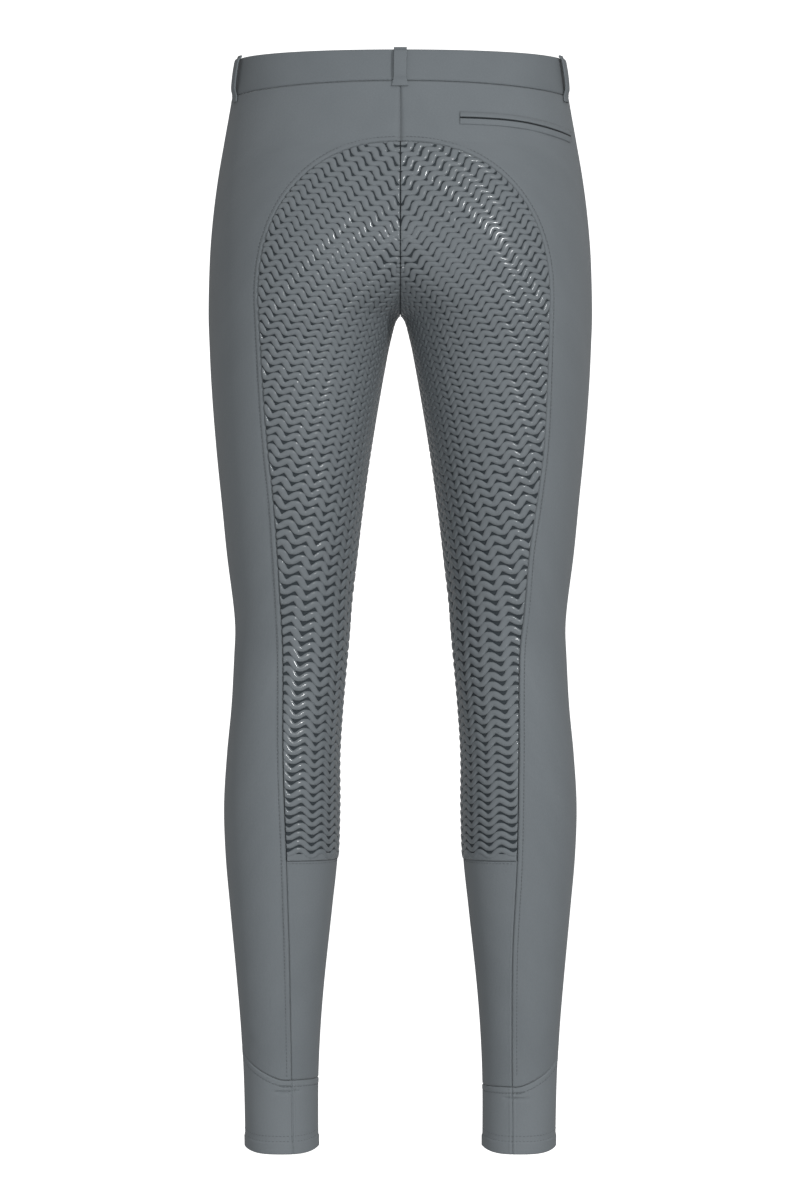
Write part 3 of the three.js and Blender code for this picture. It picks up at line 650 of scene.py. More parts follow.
def panel_places(levels, shares, start, finish, top=False, cuff=None):
    """Heights and angles of a panel's grid. The rows near the waistband and near the cuff of that
    side lean towards those curved edges, and run level in between."""
    heights = levels[:, None] + np.zeros(len(shares))
    for _ in range(3):
        angles = start(heights) + (finish(heights) - start(heights)) * shares
        heights = levels[:, None] + np.zeros(len(shares))
        if top:
            near = np.clip((levels - EASE_TOP) / (levels[0] - EASE_TOP), 0, 1)[:, None]
            heights = heights + near * (band_foot(angles) - SEAM_GAP - levels[0])
        if cuff:
            near = np.clip((EASE_FOOT - levels) / (EASE_FOOT - levels[-1]), 0, 1)[:, None]
            heights = heights + near * (cuff_top(angles, cuff) + SEAM_GAP - levels[-1])
    return heights, start(heights) + (finish(heights) - start(heights)) * shares


def cut_panel(name, side, places, seams, material, extra=None):
    """A shell whose outer face follows the seams' relief over a plain inner face. The inner face
    reaches the seam lines themselves, so that no light comes through the seams, and above the
    crotch both halves end on the middle plane."""
    heights, angles = places
    base = body_point(heights, angles)
    lift = crease_relief(heights, angles)
    for line, relief in seams.items():
        lift = lift + seam_relief(distance_to(base, SEAM_LINES[line]), **relief)
    if extra is not None:
        lift = lift + extra(base, heights, angles)
    outer = lifted(heights, angles, lift)
    closed = angles.copy()
    onward = np.sign(angles[:, -1] - angles[:, 0])
    for column, way in ((0, -onward), (-1, onward)):
        closed[:, column] += way * turn_for(heights[:, column], angles[:, column], SEAM_GAP / 2)
    inner = lifted(heights, closed, np.minimum(lift, 0.0) * 0.5 - CLOTH)
    middle = np.minimum(np.abs(angle_at(heights, 0.0, BACK)), inner_angle(heights, FRONT))
    joined = (heights >= CROTCH) & (np.abs(angles) >= middle - 1e-6)
    outer[joined, 0] = 0.0
    inner[joined, 0] = 0.0
    points, faces = wall(outer, inner)
    flat = np.tile(flat_places(outer).reshape(-1, 2), (2, 1))
    name = f"{name}_{side}"
    PIECES[name] = add_mesh(name, mirrored(points, side), faces, material, flat)


print("columns of a panel:", len(EDGE_SHARES))


# %% [markdown]
# The pocket on the right of the back is a slit between two narrow welts, and it drops towards the
# side seam. Its path is needed before the outer panel is cut, because the panel is pressed down
# along the welts' outer edges.

# %% The path of the back pocket
# Columns: distance from the middle, height
POCKET_SLIT = np.array([
    [51, -60], [70, -60.2], [90, -60.8], [108, -62.3], [124, -64.8], [138, -67.6], [148, -70],
])
# Columns: height, distance from the middle
POCKET_TAIL = np.array([
    [-74, 147.0], [-77, 150.5], [-81, 153.0], [-90, 155.0], [-103, 157.5], [-118, 160.5],
])
WELT_WIDTH, WELT_CLOTH, WELT_PARTING, WELT_LIFT = 4.8, 1.0, 0.75, 0.75


def slit_path(count):
    """Distance from the middle and height along the slit, evenly spaced, on a smooth curve."""
    reach = np.linspace(POCKET_SLIT[0, 0], POCKET_SLIT[-1, 0], count)
    as_table = np.stack([-POCKET_SLIT[:, 0], POCKET_SLIT[:, 1]], 1)
    return reach, column_at(as_table, 1, -reach)


def pocket_relief(base, heights, angles):
    """The panel is pressed down by 0.5 mm along the outer edges of both welts and at the slit's
    inner end, and along the line that runs on from the lower welt down the side."""
    reach, slit = slit_path(60)
    edge = WELT_PARTING + WELT_WIDTH + 0.5
    lines = [body_point(slit + way * edge, angle_at(slit + way * edge, reach, BACK)) for way in (1, -1)]
    lines.append(body_point(POCKET_TAIL[:, 0], angle_at(POCKET_TAIL[:, 0], POCKET_TAIL[:, 1], BACK)))
    end = np.linspace(-edge, edge, 12)
    lines.append(body_point(slit[0] + end, angle_at(slit[0] + end, reach[0] - 3.0, BACK)))
    distance = np.min([distance_to(base, line) for line in lines], axis=0)
    return -0.45 * np.exp(-((distance / 0.9) ** 2))


print("length of the slit:", round(float(np.ptp(POCKET_SLIT[:, 0]))), "mm across")


# %% [markdown]
# The outer back panels run from the waistband over the hip and down the outside of the leg. Beside
# the grip panel their edge is lapped over it and sewn down, so that side has the widest rib.

# %% Outer back panels
def side_edge(face):
    """The side seam, half a gap towards the back or the front."""
    return lambda height: face * turn_for(height, 0.0, SEAM_GAP / 2) + 0 * height


def inner_edge(face):
    """The inner edge of a panel at the back or at the front."""
    return lambda height: inner_angle(height, face)


def back_start(side):
    """The panel's inner edge: the middle seam down to the arch, then the seam beside the grip."""

    def start(height):
        middle = inner_angle(height, BACK)
        seam = np.maximum(seam_angle(height, side, SEAM_GAP / 2), middle)
        return np.where(height >= ARCH_TOP, middle, seam)

    return start


OUTER_LEVELS = np.concatenate([UPPER_LEVELS, LEG_LEVELS])
for side in SIDES:
    seams = {f"back_{side}": LAPPED, "middle_back": PRESSED, "side": PRESSED, "band": BAND_SEAM}
    seams[f"cuff_{side}"] = SUNK
    places = panel_places(OUTER_LEVELS, EDGE_SHARES, back_start(side), side_edge(BACK), top=True, cuff=side)
    relief = pocket_relief if side == "right" else None
    cut_panel("outer_back", side, places, seams, TWILL, relief)

# %% [markdown]
# The fronts don't show in the photograph. They are finished plainly: one long piece of cloth for
# each leg, from the waistband to the cuff, with the middle seam, the side seam and the inside leg
# seam. The model has three lengths for each, and one cloth stands for all three here.

# %% Front panels
FRONT_LEVELS = np.concatenate([-spaced((33.3, 0.8), (37, 4), (210, 2), (240, 0)), LEG_LEVELS])
for side in SIDES:
    seams = {"middle_front": PRESSED, "side": PRESSED, "inside_leg": INSIDE_LEG, "band": BAND_SEAM}
    seams[f"cuff_{side}"] = SUNK
    places = panel_places(
        FRONT_LEVELS,
        EDGE_SHARES,
        side_edge(FRONT),
        inner_edge(FRONT),
        top=True,
        cuff=side,
    )
    cut_panel("front", side, places, seams, TWILL)

# %% [markdown]
# Below the grip the inner side of the leg goes on in plain cloth, down to the cuff. It could have
# been one piece with the grip's ground cloth, but the photograph shows a seam there, and a boot
# rubs here, so silicone would be lost on it.

# %% Calf panels below the grip
CALF_FROM = -GRIP_END + SEAM_GAP / 2
CALF_LEVELS = -spaced((CALF_FROM, 0.7), (708, 4.4), (876, 4), (886, 0.9), (-CUFF_TOP - SEAM_GAP, 0))
for side in SIDES:
    seams = {f"back_{side}": CALF_SEAM, "inside_leg": INSIDE_LEG, "grip_end": SUNK, f"cuff_{side}": SUNK}
    places = panel_places(
        CALF_LEVELS,
        EDGE_SHARES,
        inner_edge(BACK),
        lambda height: seam_angle(height, side, -SEAM_GAP / 2),
        cuff=side,
    )
    cut_panel("calf", side, places, seams, TWILL)

# %% [markdown]
# The grip panel is a plain cloth printed with thick silicone. The cloth comes first: a darker
# ground that shows only in the gaps between the waves. Its colour is painted shade, darker than
# the panels around it, because the photograph's gaps are, and the shade of the waves alone
# doesn't make them so.

# %% The ground cloth of the grip panels
GRIP_LEVELS = -np.concatenate([
    spaced((-ARCH_TOP + 2 * SEAM_GAP, 0.7), (100, 1.4), (132, 2.5), (240, 0)),
    spaced((245, 5), (-GRIP_END - 4, 0.8), (-GRIP_END - SEAM_GAP / 2, 0)),
])
GRIP_SHARES = spaced((0, 1), (4, 5), (106, 1), (110, 0)) / 110


def grip_finish(side):
    """The panel's outer edge: the back seam, kept just outside the middle at the arch's top."""
    return lambda height: np.maximum(
        seam_angle(height, side, -SEAM_GAP / 2), inner_angle(height, BACK) + 1e-4
    )


for side in SIDES:
    seams = {f"back_{side}": SUNK, "middle_back": SUNK, "inside_leg": SUNK, "grip_end": SUNK}
    places = panel_places(GRIP_LEVELS, GRIP_SHARES, inner_edge(BACK), grip_finish(side))
    # The ground cloth's dark colour is painted shade for the gaps between the waves
    cut_panel("grip_cloth", side, places, seams, GRIP_GROUND_PAINTED_SHADE)

# %% [markdown]
# The waves are the face of these breeches. Each row is a thick rounded cord of silicone that swings
# up and down as it crosses the panel. A displaced surface or a bump map could suggest it, but the
# cords have real sides that shade the gaps, so each is a tube: an axis that slopes down to the
# middle, a swing to either side of the axis, and a rounded section carried along.

# %% How the rows of waves run
WAVE_COLUMNS = ["start", "slope", "pitch", "period", "swing", "thickness"]
WAVES = np.array([
    [-4, 0.66, 8.3, 15.6, 2.1, 4.9],
    [-110, 0.63, 8.1, 15.6, 2.2, 4.8],
    [-175, 0.52, 7.6, 15.8, 2.3, 4.6],
    [-247, 0.43, 7.5, 16.2, 2.5, 4.7],
    [-320, 0.34, 8.0, 17.6, 2.7, 4.9],
    [-392, 0.3, 9.1, 18.6, 3.0, 5.3],
    [-473, 0.29, 9.1, 20.0, 3.1, 5.4],
    [-540, 0.28, 8.6, 20.8, 3.1, 5.2],
    [-600, 0.22, 7.9, 21.3, 3.0, 4.9],
    [-650, 0.16, 7.6, 22.0, 2.7, 4.7],
    [-697, 0.1, 7.2, 22.5, 2.4, 4.5],
])
LEAN_COLUMNS = ["height", "lean"]
LEAN = np.array([
    [-80, 1.08], [-147, 0.95], [-200, 0.72], [-263, 0.36], [-332, 0.27],
    [-405, 0.3], [-482, 0.1], [-547, 0.08], [-640, 0.05], [-700, 0.04],
])
WAVE_RISE = 1.5
WIDER_ON_SLOPES, WIDER_ON_CRESTS = 0.26, 0.08
FLATTER_CREST = 0.03
AXIS_REFERENCE = 118.0
OVERRUN = 3.0
SUNK_AFTER, SUNK_LIFT = 1.6, -0.4
CREST_HEIGHT, CREST_DISTANCE = -693.0, 86.8
WAVE_STEP = 1.1


def wave_column(name, start):
    """One column of the table of waves at the height where a row starts, beside the outer seam."""
    return column_at(WAVES, WAVE_COLUMNS.index(name), start)


def row_starts():
    """The heights at which the rows start at the outer side, one pitch apart."""
    starts = [WAVES[0, 0]]
    while starts[-1] > GRIP_END + 5:
        starts.append(starts[-1] - float(wave_column("pitch", starts[-1])))
    return np.array(starts[:-1])


def crest_distance(height):
    """How far a crest lies from the middle: the lean summed over the height, so that the crests of
    neighbouring rows line up as they do in the print."""
    heights = np.linspace(-60, GRIP_END - 10, 1300)
    lean = column_at(LEAN, LEAN_COLUMNS.index("lean"), heights)
    drift = np.concatenate([[0], np.cumsum((lean[1:] + lean[:-1]) / 2 * -np.diff(heights))])
    at = np.interp(-height, -heights, drift) - np.interp(-CREST_HEIGHT, -heights, drift)
    return CREST_DISTANCE + at


def row_end(starts, slopes, distance):
    """The height where the axis start - slope * (reference - distance) meets an edge, by halving."""
    low, high = np.full_like(starts, GRIP_END - 60), starts.copy()
    for _ in range(40):
        middle = (low + high) / 2
        below = middle < starts - slopes * (AXIS_REFERENCE - distance(middle))
        low, high = np.where(below, middle, low), np.where(below, high, middle)
    return (low + high) / 2


print("rows of waves on each side:", len(row_starts()))

# %% [markdown]
# A row is worked out in the cloth's own measure: even steps along the axis, then a move square to
# it. Steps in the picture plane would be easier, but where the leg turns away they would stretch
# the waves, and on the real print they keep their size and only look narrower.

# %% The axis of each row
def inner_distance(height):
    """How far the panel's inner edge is from the middle plane."""
    return body_point(height, inner_angle(height, BACK))[..., 0]


def rows_from(starts, side):
    """The measures of the rows that start at the given heights, each as a column."""
    row = {name: wave_column(name, starts) for name in ("slope", "period", "swing", "thickness")}
    row["start"] = starts
    row["inner_end"] = row_end(starts, row["slope"], inner_distance)
    row["outer_end"] = row_end(starts, row["slope"], lambda height: seam_distance(height, side))
    row["inner_turn"] = inner_angle(row["inner_end"], BACK)
    row["outer_turn"] = seam_angle(row["outer_end"], side)
    return {name: values[:, None] for name, values in row.items()}


def axis_at(row, share):
    """The axis by angle, with its height from its distance, found by repeating."""
    angle = row["inner_turn"] + (row["outer_turn"] - row["inner_turn"]) * share
    height = row["inner_end"] + (row["outer_end"] - row["inner_end"]) * np.clip(share, 0, 1)
    for _ in range(8):
        distance = body_point(height, angle)[..., 0]
        height = row["start"] - row["slope"] * (AXIS_REFERENCE - distance)
    return height, angle


def even_steps(row):
    """Heights and angles in even steps of cloth along each axis, a little past both its ends, and
    the phase there: 2 pi * (length from the ridge + offset of the crests) / period."""
    share = np.linspace(0, 1, 160) + np.zeros((len(row["start"]), 1))
    height, angle = axis_at(row, share)
    points = body_point(height, angle)
    length = np.linalg.norm(np.diff(points, axis=1), axis=-1).cumsum(1)
    length = np.hstack([np.zeros((len(length), 1)), length])
    nearest = np.abs(points[..., 0] - section_at(height.mean(1))["ridge"][:, None]).argmin(1)[:, None]
    at_ridge, ridge_height, ridge_distance = (
        np.take_along_axis(values, nearest, 1) for values in (length, height, points[..., 0])
    )
    total = length[:, -1:]
    steps = int((total.max() + 2 * OVERRUN) / WAVE_STEP) + 2
    place = -OVERRUN + np.linspace(0, 1, steps) * (total + 2 * OVERRUN)
    even = np.array([np.interp(*one) for one in zip(place, length, share)])
    even = even + np.minimum(place, 0) / total + np.maximum(place - total, 0) / total
    offset = ridge_distance - crest_distance(ridge_height)
    return *axis_at(row, even), 2 * math.pi * (place - at_ridge + offset) / row["period"]


print("the grip's inner edge at the knee:", round(float(inner_distance(-500.0)), 1), "mm from the middle")

# %% [markdown]
# The rows must end neatly at the seams, as a print does that is cut to the panel. Cutting the tubes
# with a boolean would leave ragged ends, so every point that lies past a seam is moved back to it
# and sinks into the cloth.

# %% Moves along the cloth, and the waves' neat ends
def carried(height, angle, vector):
    """Turns a small move in space along the cloth into a change of height and of angle."""
    step, rise = 0.01, 0.5
    around = (body_point(height, angle + step) - body_point(height, angle - step)) / (2 * step)
    upward = (body_point(height + rise, angle) - body_point(height - rise, angle)) / (2 * rise)
    up = vector[..., 2]
    rest = vector - up[..., None] * upward
    turn = (rest * around).sum(-1) / np.maximum((around * around).sum(-1), 1.0)
    return height + up, angle + turn


def square_to(path, normal):
    """The direction on the cloth square to a path, on its upper side."""
    across = np.cross(np.gradient(path, axis=1), normal)
    across /= np.maximum(np.linalg.norm(across, axis=-1, keepdims=True), 1e-9)
    return across * np.where(across[..., 2:3] < 0, -1.0, 1.0)


def keep_inside(heights, angles, side, margin=0.45):
    """Moves places that lie past the panel's seams back to them: across the arch along the slope
    of (x/a)^p + (z/b)^p - 1, and elsewhere round the leg. Also gives how far each was moved."""
    foot = BACK_SEAM[0, BACK_SEAM_COLUMNS.index(side)]
    before = body_point(heights, angles)
    reach = ARCH_TOP - ARCH_FOOT
    for _ in range(3):
        x = np.maximum(body_point(heights, angles)[..., 0], 0.01)
        z = np.maximum(heights - ARCH_FOOT, 0.01)
        over = (x / foot) ** ARCH_POWER + (z / reach) ** ARCH_POWER - 1
        slope_x = ARCH_POWER * (x / foot) ** (ARCH_POWER - 1) / foot
        slope_z = ARCH_POWER * (z / reach) ** (ARCH_POWER - 1) / reach
        steep = np.hypot(slope_x, slope_z)
        past = np.where(heights > ARCH_FOOT, np.maximum(over / steep + margin, 0), 0)
        step = 0.01
        per_turn = (body_point(heights, angles + step)[..., 0] - x) / step
        angles = angles - past * slope_x / steep / np.maximum(np.abs(per_turn), 15.0)
        heights = heights - past * slope_z / steep
    low = inner_angle(heights, BACK) + turn_for(heights, angles, margin)
    high = np.where(heights > ARCH_FOOT, 0.0, seam_angle(heights, side, -margin))
    angles = np.clip(angles, low, high)
    heights = np.maximum(heights, GRIP_END + margin)
    moved = np.linalg.norm(body_point(heights, angles) - before, axis=-1)
    return heights, angles, moved


upper_side = square_to(SEAM_LINES["band"][None], [0, -1, 0])
print("a row's upper side points up:", bool(upper_side[0, 9, 2] > 0))

# %% [markdown]
# Last, the tube itself: a flat rounded section, as thick silicone has when it is printed and cured,
# a little wider on the slopes of each wave and on its crests than in its troughs. The rows are
# built a dozen groups at a time, which keeps the arrays small.

# %% The printed waves
PROFILE = np.array([
    [-1.0, -0.35], [-0.94, 0.42], [-0.66, 0.84], [-0.22, 1.0],
    [0.22, 1.0], [0.66, 0.84], [0.94, 0.42], [1.0, -0.35],
])


def wave_rows(starts, side):
    """Rings of tubes for rows that start at the given heights. The path is the axis moved square to
    itself by swing * (cos a - 0.03 cos 3a), and the section's half width is thickness / 2 * (1 +
    0.26 steepness + 0.08 cos a)."""
    row = rows_from(starts, side)
    height, angle, phase = even_steps(row)
    swung = row["swing"] * (np.cos(phase) - FLATTER_CREST * np.cos(3 * phase))
    across = square_to(body_point(height, angle), body_normal(height, angle))
    height, angle = carried(height, angle, across * swung[..., None])
    path = body_point(height, angle)
    across = square_to(path, body_normal(height, angle))
    along = np.gradient(path, axis=1)
    steep = np.abs(along[..., 2]) / np.linalg.norm(along, axis=-1)
    wider = 1 + WIDER_ON_SLOPES * steep + WIDER_ON_CRESTS * np.cos(phase)
    width = (row["thickness"] / 2 * wider)[..., None] * PROFILE[:, 0]
    aside = across[..., None, :] * width[..., None]
    height, angle = carried(height[..., None] + 0 * width, angle[..., None] + 0 * width, aside)
    height, angle, moved = keep_inside(height, angle, side)
    sunk = np.clip(moved / SUNK_AFTER, 0, 1)
    lift = WAVE_RISE * PROFILE[:, 1] * (1 - sunk) + SUNK_LIFT * sunk
    return lifted(height, angle, lift, edge=0.25)


for side in SIDES:
    groups = np.array_split(row_starts(), 12)
    built = [tubes(wave_rows(group, side)) for group in groups]
    offsets = np.cumsum([0] + [len(points) for points, _ in built[:-1]])
    points = np.vstack([points for points, _ in built])
    faces = np.vstack([faces + offset for (_, faces), offset in zip(built, offsets)])
    name = f"grip_waves_{side}"
    PIECES[name] = add_mesh(name, mirrored(points, side), faces, SILICONE)

# %% [markdown]
# Under the last row of waves the panel ends in a plain turned edge, about 6 mm deep. It is one
# flat tube from seam to seam. A fold in the panel itself would need finer rows over its whole width.

# %% The plain border under the last row
BORDER_TOP, BORDER_RISE = -693.8, 1.0
for side in SIDES:
    level = spaced((GRIP_END + 0.2, 0.4), (GRIP_END + 1, 1), (BORDER_TOP, 0))[::-1]
    rounded = np.clip((level - GRIP_END) / 0.8, 0, 1) ** 0.5
    start = inner_angle(GRIP_END, BACK) + turn_for(GRIP_END, -math.pi, 0.3)
    finish = seam_angle(GRIP_END, side, -0.5)
    angle = np.linspace(float(start), float(finish), 60)[:, None]
    ring_height = np.concatenate([level, level[::-1]]) + 0 * angle
    lift = np.concatenate([BORDER_RISE * rounded, -0.3 + 0 * rounded]) + 0 * angle
    rings = lifted(ring_height, angle + 0 * ring_height, lift)[None]
    flat = flat_grid(angle * FORM_RADIUS, ring_height)
    tube_piece(f"grip_border_{side}", rings, TWILL, flat, side)

# %% [markdown]
# The waistband is cloth folded double, so its upper edge is a soft round fold and not a cut edge.
# A bevelled strip would do, but the section is easy to give outright: one closed outline of the
# fold, carried round each half from the centre back to the centre front.

# %% Waistband
BAND_LIFT = 0.4
# Columns: share of the band's depth, millimetres further down, lift
BAND_SECTION = np.array([
    [0, 0.0, -0.8], [0, 0.12, -0.3], [0, 0.5, 0.1], [0, 1.2, 0.36], [0, 3, 0.44], [0.25, 0, 0.5],
    [0.5, 0, 0.56], [0.75, 0, 0.5], [1, -3, 0.46], [1, -1.5, 0.36], [1, -0.7, 0.05], [1, -0.25, -0.35],
    [1, 0, -0.8], [1, -0.1, -1.4], [1, -0.5, -1.8], [1, -1.3, -2.0], [1, -3, -2.0], [0.75, 0, -2.0],
    [0.5, 0, -2.0], [0.25, 0, -2.0], [0, 3, -2.0], [0, 1.2, -1.95], [0, 0.5, -1.7], [0, 0.12, -1.3],
])
for side in SIDES:
    share = np.sort(np.append(np.linspace(0, 1, 110), [0.002, 0.005, 0.995, 0.998]))
    start, finish = inner_angle(-10.0, BACK), inner_angle(-10.0, FRONT)
    angle = (start + (finish - start) * share)[:, None]
    foot = -band_foot(angle)
    depth = foot * BAND_SECTION[:, 0] + BAND_SECTION[:, 1]
    to_end = np.minimum(share, 1 - share)[:, None] * 300
    pinch = 0.35 * np.exp(-((to_end / 0.8) ** 2))
    lift = BAND_SECTION[:, 2] - np.sign(BAND_SECTION[:, 2] + 0.8) * pinch
    level = np.minimum(-depth, 0)
    rings = lifted(level, np.clip(angle, inner_angle(level, BACK), inner_angle(level, FRONT)), lift)
    around = np.linalg.norm(np.diff(rings[:, 6], axis=0), axis=-1).cumsum()
    flat = flat_grid(np.append(0, around)[:, None], -depth)
    tube_piece(f"band_{side}", rings[None], BAND_TWILL, flat, side)

# %% [markdown]
# A belt loop is a narrow strap: folded, sewn flat at the top of the band, standing clear of it in
# the middle so that a belt passes, and sewn down again just below the band, where it spreads under
# a bar of close stitches. The strap is a rounded flat section carried along that bend.

# %% Straps, and the belt loops made with them
LAID_ON = 0.35
LOOP_WIDTH, LOOP_CLOTH, LOOP_STAND = 10.0, 1.4, 3.4
LOOP_FEET = BAND_LIFT + LAID_ON
# Columns: share of the way up the band, lift, width
LOOP_BENDS = np.array([
    [1.05, LOOP_FEET + 0.2, 1], [0.99, LOOP_FEET + 0.6, 1], [0.93, LOOP_STAND - 0.4, 1],
    [0.84, LOOP_STAND + 0.1, 1], [0.5, LOOP_STAND + 0.4, 1], [0.14, LOOP_STAND - 0.3, 1],
    [0.0, LOOP_FEET + 0.6, 1.1], [-0.08, LOOP_FEET, 1.2], [-0.2, LOOP_FEET, 1.35],
])
STRAP_SECTION = np.array([
    [-1.0, 0.5], [-0.985, 0.85], [-0.9, 1.0], [-0.72, 0.97], [-0.5, 1.03], [0.0, 1.08], [0.5, 1.03],
    [0.72, 0.97], [0.9, 1.0], [0.985, 0.85], [1.0, 0.5], [0.98, 0.15], [0.9, 0.0], [0.5, 0.0],
    [0.0, 0.0], [-0.5, 0.0], [-0.9, 0.0], [-0.98, 0.15],
])


def trim_point(height, angle, lift):
    """A point of a strap that may cross the middle plane, where the form is mirrored."""
    level = np.minimum(height, 0)
    face = np.sign(angle)
    middle = np.abs(angle_at(level, 0.0, face))
    crosses = np.abs(angle) > middle
    own = np.where(crosses, face * (2 * middle - np.abs(angle)), angle)
    point = body_point(level, own) + body_normal(np.minimum(level, -2), own) * np.asarray(lift)[..., None]
    point[..., 0] *= np.where(crosses, -1, 1)
    point[..., 2] += height - level
    return point


def belt_loop(angle):
    """Rings along the loop: height foot * (share - 1), lift and width from the table of bends."""
    foot = -float(band_foot(angle))
    share = spaced((1.05, 0.02), (0.8, 0.06), (0.2, 0.02), (-0.2, 0))
    lift, width = column_at(LOOP_BENDS, 1, share), column_at(LOOP_BENDS, 2, share)
    height = foot * (share - 1)
    ends = np.ones(len(share))
    ends[[0, -1]] = 0.55
    turn = turn_for(np.minimum(height, -0.01), angle + 0.06, LOOP_WIDTH / 2 * width)
    angles = angle + turn[:, None] * STRAP_SECTION[:, 0]
    lifts = lift[:, None] + LOOP_CLOTH * (0.5 + (STRAP_SECTION[:, 1] - 0.5) * ends[:, None])
    rings = trim_point(height[:, None] + 0 * angles, angles, lifts)
    return rings, flat_grid(STRAP_SECTION[:, 0] * LOOP_WIDTH / 2, height[:, None])


SIDE_LOOP_ANGLE, FRONT_LOOP_ANGLE = -math.pi / 12, math.pi / 4
LOOPS = {
    "belt_loop_back": (-math.pi / 2, "right"),
    "belt_loop_side_left": (SIDE_LOOP_ANGLE, "left"),
    "belt_loop_side_right": (SIDE_LOOP_ANGLE, "right"),
    "belt_loop_front_left": (FRONT_LOOP_ANGLE, "left"),
    "belt_loop_front_right": (FRONT_LOOP_ANGLE, "right"),
}
for name, (angle, side) in LOOPS.items():
    rings, flat = belt_loop(angle)
    tube_piece(f"{name}_strap", rings[None], BAND_TWILL, flat, side)

# %% [markdown]
# The front closure is a tab that crosses the middle and is buttoned, over a fly placket with a
# curved foot. It is out of sight in the photograph, so it is the plain usual kind.

# %% Tab and fly placket
TAB_FROM, TAB_TO, TAB_TOP, TAB_FOOT, TAB_CORNER, TAB_CLOTH = 10.0, -40.0, -3.0, -30.0, 3.0, 2.4
PLACKET_WIDTH, PLACKET_END, PLACKET_ROUNDS_FROM, PLACKET_FOOT = 34.0, -160.0, -120.0, 0.28


def front_point(height, distance, lift):
    """A point over the front at a signed distance from the middle plane."""
    angle = angle_at(height, np.abs(distance), FRONT)
    normal = body_normal(np.minimum(height, -2), angle)
    point = body_point(height, angle) + normal * np.asarray(lift)[..., None]
    point[..., 0] = distance
    return point


def flat_strip(heights, start, finish, lift, thickness):
    """Rings of a strip that runs down the front between two distances, with rounded edges."""
    middle, half = (start + finish) / 2, (finish - start) / 2
    ends = np.ones(len(heights))
    ends[[0, -1]] = 0.5
    distance = middle[:, None] + half[:, None] * STRAP_SECTION[:, 0]
    lifts = lift + thickness * (0.5 + (STRAP_SECTION[:, 1] - 0.5) * ends[:, None])
    rings = front_point(heights[:, None] + 0 * distance, distance, lifts)
    return rings, flat_grid(distance, heights[:, None])


tab_heights = spaced((TAB_TOP, 0.5), (TAB_TOP - 3, 2), (TAB_FOOT + 3, 0.5), (TAB_FOOT, 0))
to_edge = np.minimum(TAB_TOP - tab_heights, tab_heights - TAB_FOOT)
corner = TAB_CORNER * (1 - np.sqrt(1 - np.clip(1 - to_edge / TAB_CORNER, 0, 1) ** 2))
rings, flat = flat_strip(tab_heights, TAB_TO + corner, TAB_FROM - corner, BAND_LIFT + LAID_ON, TAB_CLOTH)
tube_piece("tab", rings[None], BAND_TWILL, flat)

placket_heights = spaced((-BAND_SIDE - 1.5, 0.6), (-BAND_SIDE - 4, 4), (-150, 0.8), (PLACKET_END, 0))
down = np.clip((placket_heights - PLACKET_ROUNDS_FROM) / (PLACKET_END - PLACKET_ROUNDS_FROM), 0, 1)
placket_width = PLACKET_WIDTH * np.sqrt(1 - (1 - PLACKET_FOOT**2) * down**2)
rings, flat = flat_strip(placket_heights, -placket_width, -1.0 + 0 * placket_width, LAID_ON, CLOTH)
tube_piece("placket", rings[None], TWILL, flat)

# %% [markdown]
# The button is moulded with a low rim, and sewn on through the tab. It is a profile turned round its
# own axis, which stands square to the cloth under it. A cylinder with a bevel would have no rim.

# %% The button
BUTTON_RADIUS, BUTTON_THICK, BUTTON_DISTANCE, BUTTON_HEIGHT = 8.0, 2.6, -27.0, -16.0
BUTTON_PROFILE = np.array([
    [0.02, 0.0], [0.6, 0.0], [0.85, 0.05], [0.97, 0.3], [1.0, 0.55], [0.98, 0.8], [0.92, 0.95],
    [0.84, 1.0], [0.76, 0.95], [0.68, 0.78], [0.6, 0.7], [0.35, 0.68], [0.02, 0.68],
])
button_angle = angle_at(BUTTON_HEIGHT, -BUTTON_DISTANCE, FRONT)
button_normal = body_normal(np.array(BUTTON_HEIGHT), np.array(button_angle)) * [-1, 1, 1]
seat = BAND_LIFT + LAID_ON + TAB_CLOTH + SEAM_GAP + 0.2
button_centre = front_point(np.array(BUTTON_HEIGHT), np.array(BUTTON_DISTANCE), np.array(0.0))
button_centre = button_centre + button_normal * seat
upright = np.array([0, 0, 1]) - button_normal * button_normal[2]
upright = upright / np.linalg.norm(upright)
sideways_on = np.cross(upright, button_normal)


def on_button(across, up, out):
    """A point given in the button's own plane and height over its seat."""
    return (
        button_centre
        + np.asarray(across)[..., None] * sideways_on
        + np.asarray(up)[..., None] * upright
        + np.asarray(out)[..., None] * button_normal
    )


spin = np.linspace(0, 2 * math.pi, 49)[:-1]
radius = BUTTON_PROFILE[:, 0, None] * BUTTON_RADIUS
rise = BUTTON_PROFILE[:, 1, None] * BUTTON_THICK + 0 * spin
tube_piece("button", on_button(radius * np.cos(spin), radius * np.sin(spin), rise)[None], BUTTON_RESIN)

# %% [markdown]
# The pocket's two welts are strips folded double, thickest at the fold, where they meet. Each is a
# strip's section carried along the slit. They could be ridges in the panel, but then the slit
# between them couldn't be deep and dark.

# %% Pocket welts
# Columns: share of the width, share of the thickness
WELT_SECTION = np.array([
    [0.0, 0.35], [0.02, 0.8], [0.12, 1.05], [0.35, 1.1], [0.7, 0.85], [0.93, 0.5], [1.0, 0.2],
    [0.97, 0.0], [0.5, 0.0], [0.06, 0.0],
])
WELT_END, WELT_TAPER = 0.4, 0.55


def along_slit(height, reach, lift):
    """Rings over the back of the right leg, at heights and at distances from the middle."""
    return lifted(height, angle_at(height, reach[:, None] + 0 * height, BACK), lift + 0 * height)[None]


